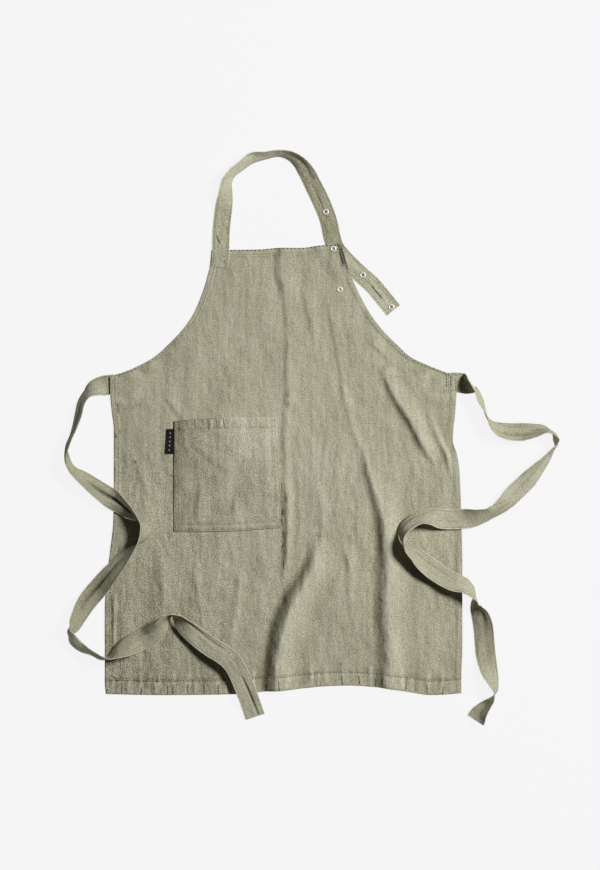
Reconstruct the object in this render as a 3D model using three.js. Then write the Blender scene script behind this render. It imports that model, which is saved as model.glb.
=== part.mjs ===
// Linen bib apron lying flat on its back, face up.
// Millimetres, +Z up, the floor at z = 0, +Y towards the neck, +X to the right as seen from above.
import * as THREE from 'three';

// Cloth sizes
const CLOTH = 1.2;
const HEM_EXTRA = 0.9;
const SIDE_HEM = 12;
const BOTTOM_HEM = 30;
const BIB_HEM = 12;
const HEM_STEP = 2;
const GAP = 0.3;

// Mesh steps of the body
const ROW_STEP = 23;
const BODY_COLUMNS = 32;

// Pocket and its tab
const POCKET_COLUMNS = 14;
const POCKET_ROWS = 14;
const POCKET_HEM = 20;
const POCKET_PUFF = 8.5;
const TAB_LENGTH = 50;
const TAB_SHOWN = 17.5;
const TAB_TUCKED = 6;
const TAB_THICK = 0.9;
const TAB_SLANT = 3;
const TAB_X = -274;
const TAB_Y = -8;

// Straps
const TIE_WIDTH = 40;
const STRAP_WIDTH = 35;
const BAND_THICK = 1.8;
const BAND_STEP = 10;
const BAND_CLEAR = 0.8;
const SEWN_RUN = 40;

// Snap rings
const SNAP_OUTER = 5.8;
const SNAP_INNER = 3.1;
const SNAP_HEIGHT = 1.8;
const SNAP_FLOOR = 0.6;
const SNAP_SIDES = 20;

// Side edges of the body, a row per level from the skirt hem up to the bib
const OUTLINE = [
  { y: -513, left: -411, right: 300 },
  { y: -489, left: -413, right: 300 },
  { y: -417, left: -413, right: 302 },
  { y: -345, left: -413, right: 302 },
  { y: -249, left: -405, right: 302 },
  { y: -165, left: -396, right: 300 },
  { y: -97, left: -395, right: 298 },
  { y: -65, left: -395, right: 296 },
  { y: -33, left: -395, right: 291 },
  { y: -7, left: -395, right: 283 },
  { y: 15, left: -395, right: 284 },
  { y: 51, left: -399, right: 288 },
  { y: 87, left: -402, right: 290 },
  { y: 121, left: -403, right: 291 },
  { y: 131, left: -373, right: 266 },
  { y: 145, left: -342, right: 232 },
  { y: 161, left: -314, right: 198 },
  { y: 185, left: -287, right: 172 },
  { y: 214, left: -259, right: 143 },
  { y: 247, left: -236, right: 118 },
  { y: 279, left: -222, right: 100 },
  { y: 315, left: -210, right: 83 },
  { y: 347, left: -203, right: 71 },
  { y: 379, left: -200, right: 61 },
];
// Waviness of the skirt hem across the body
const HEM_EDGE = [
  { x: -413, rise: 0 },
  { x: -293, rise: -2 },
  { x: -143, rise: 0 },
  { x: -87, rise: 6 },
  { x: -43, rise: 9 },
  { x: 37, rise: 16 },
  { x: 77, rise: 17 },
  { x: 127, rise: 14 },
  { x: 177, rise: 8 },
  { x: 207, rise: 2 },
  { x: 237, rise: -2 },
  { x: 267, rise: -1 },
  { x: 301, rise: 2 },
];
// Slope of the bib top across the body
const BIB_EDGE = [
  { x: -201, rise: -4 },
  { x: -163, rise: -4 },
  { x: -99, rise: -3 },
  { x: -67, rise: 0 },
  { x: -23, rise: 0 },
  { x: 23, rise: 5 },
  { x: 61, rise: 6 },
];
// Skirt left fold: height of its crest, and the reach of its left and right flanks
const SKIRT_LEFT_FOLD = [
  { x: 13, y: -197, height: 0, left: 20, right: 45 },
  { x: 11, y: -245, height: 9, left: 24, right: 50 },
  { x: -13, y: -297, height: 16, left: 28, right: 55 },
  { x: -39, y: -345, height: 20, left: 32, right: 60 },
  { x: -59, y: -401, height: 21.5, left: 31, right: 65 },
  { x: -68, y: -461, height: 21.5, left: 30, right: 60 },
  { x: -69, y: -513, height: 18.5, left: 30, right: 55 },
];
// Skirt right fold: height of its crest, and the reach of its left and right flanks
const SKIRT_RIGHT_FOLD = [
  { x: 107, y: -5, height: 0, left: 14, right: 45 },
  { x: 120, y: -77, height: 7, left: 16, right: 50 },
  { x: 139, y: -137, height: 11, left: 19, right: 50 },
  { x: 153, y: -205, height: 15.5, left: 26, right: 50 },
  { x: 156, y: -273, height: 16, left: 28, right: 55 },
  { x: 155, y: -345, height: 16.5, left: 30, right: 55 },
  { x: 158, y: -405, height: 17, left: 31, right: 55 },
  { x: 159, y: -513, height: 15, left: 31, right: 55 },
];
// Waist fold: height of its crest, and the reach of its left and right flanks
const WAIST_FOLD = [
  { x: 143, y: 139, height: 0, left: 10, right: 40 },
  { x: 165, y: 87, height: 8, left: 11, right: 40 },
  { x: 197, y: 37, height: 10, left: 13, right: 40 },
  { x: 223, y: -11, height: 8, left: 13, right: 36 },
  { x: 251, y: -53, height: 0, left: 11, right: 36 },
];
// Room under the bib for the strap and under the waist corners for the sewn tie ends
const STRAP_ROOM = [
  { x: 36, y: 402, height: 2.6, left: 26, right: 26, flat: 22 },
  { x: 57, y: 368, height: 2.6, left: 26, right: 26, flat: 22 },
  { x: 80, y: 344, height: 2.6, left: 26, right: 26, flat: 22 },
];
const LEFT_TIE_ROOM = [
  { x: -420, y: 105, height: 2.6, left: 26, right: 26, flat: 26 },
  { x: -372, y: 105, height: 2.6, left: 26, right: 26, flat: 26 },
];
const RIGHT_TIE_ROOM = [
  { x: 260, y: 109, height: 2.6, left: 26, right: 26, flat: 26 },
  { x: 310, y: 109, height: 2.6, left: 26, right: 26, flat: 26 },
];
// Side edges of the pocket, a row per level from its foot to its mouth
const POCKET_SIDES = [
  { y: -187, left: -275, right: -62 },
  { y: -125, left: -275, right: -59 },
  { y: -71, left: -275, right: -63 },
  { y: -17, left: -274, right: -67 },
  { y: 37, left: -274, right: -70 },
];
// Slope of the pocket mouth
const POCKET_MOUTH = [
  { x: -274, rise: -4 },
  { x: -213, rise: 1 },
  { x: -169, rise: 3 },
  { x: -70, rise: 3 },
];
// Slope of the pocket foot
const POCKET_FOOT = [
  { x: -275, rise: -2 },
  { x: -178, rise: -1 },
  { x: -63, rise: 6 },
];
// Left tie from its sewn end to its free end. roll turns the band about its run, on = 1 lies on the body, lean slants a section along the run
const LEFT_TIE = [
  { x: -375, y: 105, roll: 0, lift: 0, on: 0, lean: 0 },
  { x: -408, y: 105, roll: 0, lift: 0, on: 0, lean: 0 },
  { x: -421, y: 102, roll: 10, lift: 0, on: 0, lean: 0 },
  { x: -436, y: 95, roll: 40, lift: 0, on: 0, lean: 0 },
  { x: -449, y: 85, roll: 63, lift: 0, on: 0, lean: 0 },
  { x: -458, y: 71, roll: 64, lift: 0, on: 0, lean: 0 },
  { x: -464, y: 48, roll: 65, lift: 0, on: 0, lean: 0 },
  { x: -471, y: 23, roll: 70, lift: 0, on: 0, lean: 0 },
  { x: -479, y: 1, roll: 76, lift: 0, on: 0, lean: 0 },
  { x: -485, y: -18, roll: 80, lift: 0, on: 0, lean: 0 },
  { x: -486, y: -27, roll: 86, lift: 0, on: 0, lean: 0 },
  { x: -486, y: -37, roll: 94, lift: 0, on: 0, lean: 0 },
  { x: -485, y: -46, roll: 99, lift: 0, on: 0, lean: 0 },
  { x: -481, y: -57, roll: 104, lift: 0, on: 0, lean: 0 },
  { x: -473, y: -67, roll: 112, lift: 0, on: 0, lean: 0 },
  { x: -457, y: -79, roll: 126, lift: 0, on: 0, lean: 0 },
  { x: -432, y: -98, roll: 143, lift: 0, on: 1, lean: 0 },
  { x: -409, y: -115, roll: 160, lift: 0, on: 1, lean: 0 },
  { x: -387, y: -131, roll: 205, lift: 1, on: 1, lean: 0 },
  { x: -368, y: -145, roll: 228, lift: 1, on: 1, lean: 0 },
  { x: -351, y: -159, roll: 252, lift: 1, on: 1, lean: 0 },
  { x: -335, y: -174, roll: 285, lift: 1, on: 1, lean: 0 },
  { x: -331, y: -187, roll: 296, lift: 1, on: 1, lean: 0 },
  { x: -336, y: -201, roll: 288, lift: 1, on: 1, lean: 0 },
  { x: -348, y: -215, roll: 266, lift: 1, on: 1, lean: 0 },
  { x: -364, y: -230, roll: 242, lift: 1, on: 1, lean: 0 },
  { x: -393, y: -263, roll: 216, lift: 1, on: 1, lean: 0 },
  { x: -423, y: -298, roll: 190, lift: 0, on: 1, lean: 0 },
  { x: -450, y: -331, roll: 158, lift: 0, on: 1, lean: 0 },
  { x: -465, y: -358, roll: 137, lift: 0, on: 0, lean: 0 },
  { x: -476, y: -381, roll: 116, lift: 0, on: 0, lean: -0.2 },
  { x: -481, y: -387, roll: 89, lift: 0, on: 0, lean: -0.4 },
  { x: -478, y: -394, roll: 68, lift: 0, on: 0, lean: -0.14 },
  { x: -472, y: -406, roll: 56, lift: 0, on: 0, lean: 0 },
  { x: -459, y: -418, roll: 58, lift: 0, on: 0, lean: 0.15 },
  { x: -443, y: -425, roll: 73, lift: 0, on: 0, lean: 0.08 },
  { x: -429, y: -431, roll: 79, lift: 0, on: 0, lean: 0 },
  { x: -415, y: -437, roll: 82, lift: 1, on: 1, lean: 0 },
  { x: -404, y: -437, roll: 94, lift: 2, on: 1, lean: 0 },
  { x: -392, y: -431, roll: 114, lift: 4, on: 1, lean: 0 },
  { x: -373, y: -421, roll: 142, lift: 6, on: 1, lean: 0 },
  { x: -347, y: -408, roll: 170, lift: 7, on: 1, lean: 0 },
  { x: -322, y: -396, roll: 190, lift: 7, on: 1, lean: 0 },
  { x: -302, y: -379, roll: 222, lift: 6, on: 1, lean: 0 },
  { x: -290, y: -361, roll: 248, lift: 5, on: 1, lean: 0 },
  { x: -278, y: -352, roll: 262, lift: 5, on: 1, lean: 0 },
  { x: -266, y: -359, roll: 240, lift: 5, on: 1, lean: 0 },
  { x: -251, y: -376, roll: 211, lift: 5, on: 1, lean: 0 },
  { x: -225, y: -399, roll: 186, lift: 8, on: 1, lean: 0 },
  { x: -199, y: -418, roll: 172, lift: 13, on: 1, lean: 0 },
  { x: -174, y: -433, roll: 171, lift: 17, on: 1, lean: 0 },
  { x: -155, y: -451, roll: 178, lift: 17, on: 1, lean: 0 },
  { x: -141, y: -479, roll: 180, lift: 14, on: 1, lean: 0 },
  { x: -128, y: -511, roll: 180, lift: 10, on: 1, lean: 0 },
  { x: -112, y: -558, roll: 180, lift: 3, on: 0, lean: 0 },
];
// Right tie from its sewn end to its free end
const RIGHT_TIE = [
  { x: 263, y: 109, roll: 0, lift: 0, on: 0, lean: 0 },
  { x: 300, y: 109, roll: 2, lift: 0, on: 0, lean: 0 },
  { x: 311, y: 106, roll: 32, lift: 0, on: 0, lean: 0 },
  { x: 321, y: 102, roll: 74, lift: 0, on: 0, lean: -0.26 },
  { x: 324, y: 100, roll: 89, lift: 0, on: 0, lean: -0.38 },
  { x: 327, y: 97, roll: 104, lift: 0, on: 0, lean: 0.04 },
  { x: 338, y: 75, roll: 109, lift: 0, on: 0, lean: 0 },
  { x: 345, y: 58, roll: 101, lift: 0, on: 0, lean: 0 },
  { x: 351, y: 43, roll: 96, lift: 0, on: 0, lean: 0 },
  { x: 361, y: 26, roll: 112, lift: 0, on: 0, lean: 0 },
  { x: 375, y: 16, roll: 134, lift: 0, on: 0, lean: 0 },
  { x: 393, y: 12, roll: 148, lift: 0, on: 0, lean: 0 },
  { x: 417, y: 11, roll: 154, lift: 0, on: 0, lean: 0 },
  { x: 441, y: 13, roll: 136, lift: 0, on: 0, lean: 0 },
  { x: 469, y: 15, roll: 108, lift: 0, on: 0, lean: 0.06 },
  { x: 479, y: 10, roll: 96, lift: 0, on: 0, lean: 0.24 },
  { x: 485, y: 3, roll: 85, lift: 0, on: 0, lean: 0.2 },
  { x: 487, y: -5, roll: 78, lift: 0, on: 0, lean: 0.02 },
  { x: 487, y: -14, roll: 88, lift: 0, on: 0, lean: -0.1 },
  { x: 481, y: -23, roll: 102, lift: 0, on: 0, lean: -0.05 },
  { x: 468, y: -42, roll: 116, lift: 0, on: 0, lean: 0 },
  { x: 449, y: -65, roll: 135, lift: 0, on: 0, lean: 0 },
  { x: 429, y: -88, roll: 156, lift: 0, on: 0, lean: 0 },
  { x: 404, y: -112, roll: 160, lift: 0, on: 0, lean: 0 },
  { x: 380, y: -135, roll: 140, lift: 0, on: 0, lean: 0 },
  { x: 359, y: -150, roll: 126, lift: 0, on: 0, lean: 0 },
  { x: 332, y: -159, roll: 146, lift: 0, on: 1, lean: 0 },
  { x: 299, y: -163, roll: 184, lift: 0, on: 1, lean: 0 },
  { x: 265, y: -163, roll: 186, lift: 0, on: 1, lean: 0 },
  { x: 237, y: -158, roll: 216, lift: 1, on: 1, lean: 0 },
  { x: 215, y: -160, roll: 234, lift: 2, on: 1, lean: 0 },
  { x: 197, y: -169, roll: 236, lift: 2, on: 1, lean: 0 },
  { x: 183, y: -183, roll: 242, lift: 2, on: 1, lean: 0 },
  { x: 179, y: -197, roll: 257, lift: 2, on: 1, lean: 0 },
  { x: 182, y: -211, roll: 270, lift: 2, on: 1, lean: 0 },
  { x: 190, y: -221, roll: 292, lift: 3, on: 1, lean: 0 },
  { x: 205, y: -232, roll: 312, lift: 4, on: 1, lean: 0 },
  { x: 225, y: -250, roll: 332, lift: 5, on: 1, lean: 0 },
  { x: 253, y: -271, roll: 344, lift: 5, on: 1, lean: 0 },
  { x: 281, y: -287, roll: 336, lift: 5, on: 1, lean: 0 },
  { x: 304, y: -295, roll: 318, lift: 3, on: 1, lean: 0 },
  { x: 322, y: -310, roll: 293, lift: 1, on: 0, lean: -0.13 },
  { x: 327, y: -317, roll: 281, lift: 0, on: 0, lean: -0.25 },
  { x: 329, y: -323, roll: 266, lift: 0, on: 0, lean: -0.36 },
  { x: 328, y: -329, roll: 250, lift: 0, on: 0, lean: -0.18 },
  { x: 329, y: -336, roll: 240, lift: 0, on: 0, lean: -0.08 },
  { x: 337, y: -354, roll: 213, lift: 0, on: 0, lean: 0 },
  { x: 343, y: -376, roll: 194, lift: 0, on: 0, lean: 0 },
  { x: 346, y: -405, roll: 183, lift: 0, on: 0, lean: 0 },
  { x: 349, y: -437, roll: 172, lift: 0, on: 0, lean: 0 },
  { x: 355, y: -465, roll: 152, lift: 0, on: 0, lean: 0 },
  { x: 363, y: -489, roll: 124, lift: 0, on: 0, lean: 0 },
  { x: 367, y: -506, roll: 104, lift: 0, on: 0, lean: 0 },
  { x: 360, y: -522, roll: 82, lift: 0, on: 0, lean: 0 },
  { x: 349, y: -533, roll: 67, lift: 0, on: 0, lean: 0 },
  { x: 337, y: -547, roll: 45, lift: 0, on: 0, lean: 0 },
  { x: 327, y: -564, roll: 18, lift: 0, on: 0, lean: 0 },
];
// Neck strap from its sewn end on the bib, round the neck, to its free tail
const NECK = [
  { x: -183, y: 340, roll: 0, lift: 0, on: 1, lean: 0 },
  { x: -181, y: 375, roll: 0, lift: 0, on: 1, lean: 0 },
  { x: -180, y: 415, roll: 0, lift: 0, on: 0, lean: 0 },
  { x: -176, y: 451, roll: 6, lift: 0, on: 0, lean: 0 },
  { x: -171, y: 485, roll: 38, lift: 0, on: 0, lean: 0 },
  { x: -168, y: 509, roll: 56, lift: 0, on: 0, lean: 0 },
  { x: -159, y: 525, roll: 65, lift: 0, on: 0, lean: 0 },
  { x: -141, y: 540, roll: 64, lift: 0, on: 0, lean: 0 },
  { x: -119, y: 556, roll: 58, lift: 0, on: 0, lean: 0 },
  { x: -91, y: 562, roll: 71, lift: 0, on: 0, lean: 0 },
  { x: -65, y: 566, roll: 74, lift: 0, on: 0, lean: 0 },
  { x: -42, y: 561, roll: 63, lift: 0, on: 0, lean: 0 },
  { x: -24, y: 548, roll: 46, lift: 0, on: 0, lean: 0 },
  { x: -10, y: 530, roll: 24, lift: 0, on: 0, lean: 0 },
  { x: 3, y: 505, roll: 12, lift: 0, on: 0, lean: 0 },
  { x: 20, y: 471, roll: 0, lift: 0, on: 0, lean: 0 },
  { x: 35, y: 431, roll: 0, lift: 0, on: 0, lean: 0 },
  { x: 41, y: 403, roll: 0, lift: 0, on: 0, lean: 0 },
  { x: 47, y: 383, roll: 0, lift: 0, on: 0, lean: 0 },
  { x: 57, y: 368, roll: 0, lift: 0, on: 0, lean: 0 },
  { x: 72, y: 352, roll: 0, lift: 0, on: 0, lean: 0 },
  { x: 89, y: 335, roll: 0, lift: 0, on: 0, lean: 0 },
  { x: 125, y: 302, roll: 0, lift: 0, on: 0, lean: 0 },
  { x: 145, y: 278, roll: 0, lift: 0, on: 0, lean: 0 },
  { x: 164, y: 254, roll: 0, lift: 0, on: 0, lean: 0 },
];
// Snap rings: open rings pressed through the bib, closed sockets on the strap
const SNAPS = [
  { name: 'snap_strap_upper', x: 29, y: 451, on: 'strap', open: false },
  { name: 'snap_bib_corner', x: 44, y: 377, on: 'hem', open: true },
  { name: 'snap_bib_lower', x: 57, y: 296, on: 'bib', open: true },
  { name: 'snap_tail_middle', x: 103, y: 325, on: 'strap', open: false },
  { name: 'snap_tail_end', x: 160, y: 261, on: 'strap', open: false },
];

// Colours
const LINEN = 0xa5a28b;
const TAB_BLACK = 0x1d1d1c;
const SNAP_SILVER = 0xd0cfc8;

const mix = (a, b, t) => a + (b - a) * t;
const clamp = (v, low, high) => Math.min(Math.max(v, low), high);
const ease = (t) => 0.5 - 0.5 * Math.cos(Math.PI * clamp(t, 0, 1));

// Slopes of a smooth curve through values at knots, held back where it would overshoot
function slopes(values, knots, even) {
  const last = values.length - 1;
  const rate = (i) => (values[i + 1] - values[i]) / (knots[i + 1] - knots[i]);
  return values.map((value, i) => {
    if (i === 0) return rate(0);
    if (i === last) return rate(last - 1);
    const before = rate(i - 1);
    const after = rate(i);
    const back = knots[i] - knots[i - 1];
    const ahead = knots[i + 1] - knots[i];
    if (!even) return (before * ahead + after * back) / (back + ahead);
    if (before * after <= 0) return 0;
    return (2 * before * after) / (before + after);
  });
}

// A column of a table read as a smooth function of its knots
function column(rows, knots, name, even) {
  const values = rows.map((row) => row[name]);
  const slope = slopes(values, knots, even);
  return (at) => {
    const place = clamp(at, knots[0], knots[knots.length - 1]);
    let i = 0;
    while (i < knots.length - 2 && place > knots[i + 1]) i += 1;
    const span = knots[i + 1] - knots[i];
    const t = (place - knots[i]) / span;
    const t2 = t * t;
    const t3 = t2 * t;
    return values[i] * (2 * t3 - 3 * t2 + 1) + slope[i] * span * (t3 - 2 * t2 + t)
      + values[i + 1] * (3 * t2 - 2 * t3) + slope[i + 1] * span * (t3 - t2);
  };
}

// Distance along the rows of a path
function travelled(rows) {
  const knots = [0];
  for (let i = 1; i < rows.length; i += 1) {
    knots.push(knots[i - 1] + Math.hypot(rows[i].x - rows[i - 1].x, rows[i].y - rows[i - 1].y));
  }
  return knots;
}

// A closed solid from points and triangles, turned right side out
function solid(points, faces) {
  let volume = 0;
  for (const [a, b, c] of faces) {
    const [p, q, r] = [points[a], points[b], points[c]];
    volume += p[0] * (q[1] * r[2] - q[2] * r[1]) - p[1] * (q[0] * r[2] - q[2] * r[0])
      + p[2] * (q[0] * r[1] - q[1] * r[0]);
  }
  const geometry = new THREE.BufferGeometry();
  geometry.setAttribute('position', new THREE.Float32BufferAttribute(points.flat(), 3));
  geometry.setIndex(faces.flatMap(([a, b, c]) => (volume > 0 ? [a, b, c] : [a, c, b])));
  geometry.computeVertexNormals();
  return geometry;
}

// A sheet of cloth from rows of places, each with its underside and top
function sheet(rows) {
  const wide = rows[0].length;
  const high = rows.length;
  const points = [];
  const faces = [];
  for (const row of rows) for (const p of row) points.push([p.x, p.y, p.top]);
  for (const row of rows) for (const p of row) points.push([p.x, p.y, p.under]);
  const top = (j, i) => j * wide + i;
  const under = (j, i) => wide * high + j * wide + i;
  const quad = (a, b, c, d) => faces.push([a, b, c], [a, c, d]);
  for (let j = 0; j < high - 1; j += 1) {
    for (let i = 0; i < wide - 1; i += 1) {
      quad(top(j, i), top(j, i + 1), top(j + 1, i + 1), top(j + 1, i));
      quad(under(j, i), under(j + 1, i), under(j + 1, i + 1), under(j, i + 1));
    }
    quad(top(j, 0), top(j + 1, 0), under(j + 1, 0), under(j, 0));
    quad(top(j + 1, wide - 1), top(j, wide - 1), under(j, wide - 1), under(j + 1, wide - 1));
  }
  for (let i = 0; i < wide - 1; i += 1) {
    quad(top(0, i + 1), top(0, i), under(0, i), under(0, i + 1));
    quad(top(high - 1, i), top(high - 1, i + 1), under(high - 1, i + 1), under(high - 1, i));
  }
  return solid(points, faces);
}

// Outline of the body
const levels = OUTLINE.map((row) => row.y);
const bodyLeft = column(OUTLINE, levels, 'left', true);
const bodyRight = column(OUTLINE, levels, 'right', true);
const hemRise = column(HEM_EDGE, HEM_EDGE.map((row) => row.x), 'rise', true);
const bibRise = column(BIB_EDGE, BIB_EDGE.map((row) => row.x), 'rise', true);
const HEM_Y = levels[0];
const BIB_Y = levels[levels.length - 1];
const HEM_FADE = 160;
const BIB_FADE = 60;

// A long crest over the body, given by its rows
function crest(rows) {
  const knots = travelled(rows);
  const full = rows.map((row) => ({ flat: 0, ...row }));
  const names = ['x', 'y', 'height', 'left', 'right', 'flat'];
  const reads = names.map((name) => column(full, knots, name, name !== 'x' && name !== 'y'));
  const steps = Math.ceil(knots[knots.length - 1] / 8);
  const stops = [];
  for (let k = 0; k <= steps; k += 1) {
    const at = (knots[knots.length - 1] * k) / steps;
    stops.push(Object.fromEntries(names.map((name, n) => [name, reads[n](at)])));
  }
  return (x, y) => {
    let best = { distance: Infinity };
    for (let k = 0; k < stops.length - 1; k += 1) {
      const a = stops[k];
      const b = stops[k + 1];
      const dx = b.x - a.x;
      const dy = b.y - a.y;
      const t = clamp(((x - a.x) * dx + (y - a.y) * dy) / (dx * dx + dy * dy), 0, 1);
      const ox = x - a.x - dx * t;
      const oy = y - a.y - dy * t;
      const distance = Math.hypot(ox, oy);
      if (distance < best.distance) {
        const side = ox * dy - oy * dx < 0 ? 'right' : 'left';
        best = { distance, a, b, t, side };
      }
    }
    const read = (name) => mix(best.a[name], best.b[name], best.t);
    const beyond = best.distance - read('flat');
    return read('height') * ease(1 - beyond / read(best.side));
  };
}

const crests = [SKIRT_LEFT_FOLD, SKIRT_RIGHT_FOLD, WAIST_FOLD, STRAP_ROOM, LEFT_TIE_ROOM, RIGHT_TIE_ROOM].map(crest);
const bodyUnder = (x, y) => crests.reduce((sum, rise) => sum + rise(x, y), 0);
const bodyTop = (x, y) => bodyUnder(x, y) + CLOTH;

function onBody(x, y) {
  const margin = 4;
  if (y < HEM_Y + hemRise(x) - margin || y > BIB_Y + bibRise(x) + margin) return false;
  return x > bodyLeft(y) - margin && x < bodyRight(y) + margin;
}

// Levels of the body's mesh: the outline rows, the steps between them and the hem lines
function bodyLevels() {
  const list = [HEM_Y, HEM_Y + BOTTOM_HEM - HEM_STEP, HEM_Y + BOTTOM_HEM];
  const end = [BIB_Y - BIB_HEM, BIB_Y - BIB_HEM + HEM_STEP, BIB_Y];
  const inner = [HEM_Y + BOTTOM_HEM, ...levels, BIB_Y - BIB_HEM].sort((a, b) => a - b)
    .filter((y) => y >= HEM_Y + BOTTOM_HEM && y <= BIB_Y - BIB_HEM);
  for (let i = 0; i < inner.length - 1; i += 1) {
    const span = inner[i + 1] - inner[i];
    const parts = Math.max(1, Math.round(span / ROW_STEP));
    for (let k = 1; k <= parts; k += 1) {
      const y = inner[i] + (span * k) / parts;
      if (y < end[0] - 0.5 && y > list[list.length - 1] + 0.5) list.push(y);
    }
  }
  return [...list, ...end];
}

function apronBody() {
  const rows = bodyLevels().map((level) => {
    const left = bodyLeft(level);
    const right = bodyRight(level);
    const across = [0, SIDE_HEM - HEM_STEP].map((inset) => left + inset);
    for (let k = 0; k <= BODY_COLUMNS; k += 1) {
      across.push(mix(left + SIDE_HEM, right - SIDE_HEM, k / BODY_COLUMNS));
    }
    across.push(right - SIDE_HEM + HEM_STEP, right);
    return across.map((x) => {
      const y = level + hemRise(x) * (1 - ease((level - HEM_Y) / HEM_FADE))
        + bibRise(x) * (1 - ease((BIB_Y - level) / BIB_FADE));
      const inHem = x - left < SIDE_HEM - 0.5 || right - x < SIDE_HEM - 0.5
        || level - HEM_Y < BOTTOM_HEM - 0.5 || BIB_Y - level < BIB_HEM - 0.5;
      const under = bodyUnder(x, y);
      return { x, y, under, top: under + CLOTH + (inHem ? HEM_EXTRA : 0) };
    });
  });
  return sheet(rows);
}

// The pocket lies on the body and stands off it towards its mouth
const pocketLevels = POCKET_SIDES.map((row) => row.y);
const pocketLeft = column(POCKET_SIDES, pocketLevels, 'left', true);
const pocketRight = column(POCKET_SIDES, pocketLevels, 'right', true);
const mouthRise = column(POCKET_MOUTH, POCKET_MOUTH.map((row) => row.x), 'rise', true);
const footRise = column(POCKET_FOOT, POCKET_FOOT.map((row) => row.x), 'rise', true);
const tabRoom = crest([
  { x: TAB_X - 10, y: TAB_Y, height: TAB_THICK + GAP, left: 22, right: 22, flat: 34 },
  { x: TAB_X + 4, y: TAB_Y, height: TAB_THICK + GAP, left: 22, right: 22, flat: 34 },
]);

function pocket() {
  const foot = pocketLevels[0];
  const mouth = pocketLevels[pocketLevels.length - 1];
  const stops = [];
  for (let j = 0; j <= POCKET_ROWS; j += 1) {
    stops.push(mix(foot, mouth - POCKET_HEM, j / POCKET_ROWS));
  }
  stops.push(mouth - POCKET_HEM + HEM_STEP, mouth - POCKET_HEM / 2, mouth);
  const rows = stops.map((level, j) => {
    const v = (level - foot) / (mouth - foot);
    const row = [];
    for (let i = 0; i <= POCKET_COLUMNS; i += 1) {
      const u = i / POCKET_COLUMNS;
      const x = mix(pocketLeft(level), pocketRight(level), u);
      const y = level + mouthRise(x) * v + footRise(x) * (1 - v);
      const puff = POCKET_PUFF * Math.sin(Math.PI * u) ** 0.8 * v ** 1.6;
      const under = bodyTop(x, y) + GAP + puff + tabRoom(x, y);
      row.push({ x, y, under, top: under + CLOTH + (j > POCKET_ROWS ? HEM_EXTRA : 0) });
    }
    return row;
  });
  return sheet(rows);
}

// The tab is caught in the pocket's left seam
function pocketTab() {
  const rows = [-0.5, -0.25, 0, 0.25, 0.5].map((v) => {
    return [-TAB_SHOWN, -TAB_SHOWN / 2, 0, TAB_TUCKED].map((offset) => {
      const x = TAB_X + offset + TAB_SLANT * v * (offset < 0 ? 1 : 0);
      const y = TAB_Y + v * TAB_LENGTH;
      const under = bodyTop(x, y) + GAP;
      return { x, y, under, top: under + TAB_THICK };
    });
  });
  return sheet(rows);
}

// A list of heights evened out over its neighbours without falling below any of them
function evened(list, reach) {
  const near = (values, k) => values.slice(Math.max(k - reach, 0), k + reach + 1);
  const high = list.map((value, k) => Math.max(...near(list, k)));
  return high.map((value, k) => near(high, k).reduce((sum, item) => sum + item, 0) / near(high, k).length);
}

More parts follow.
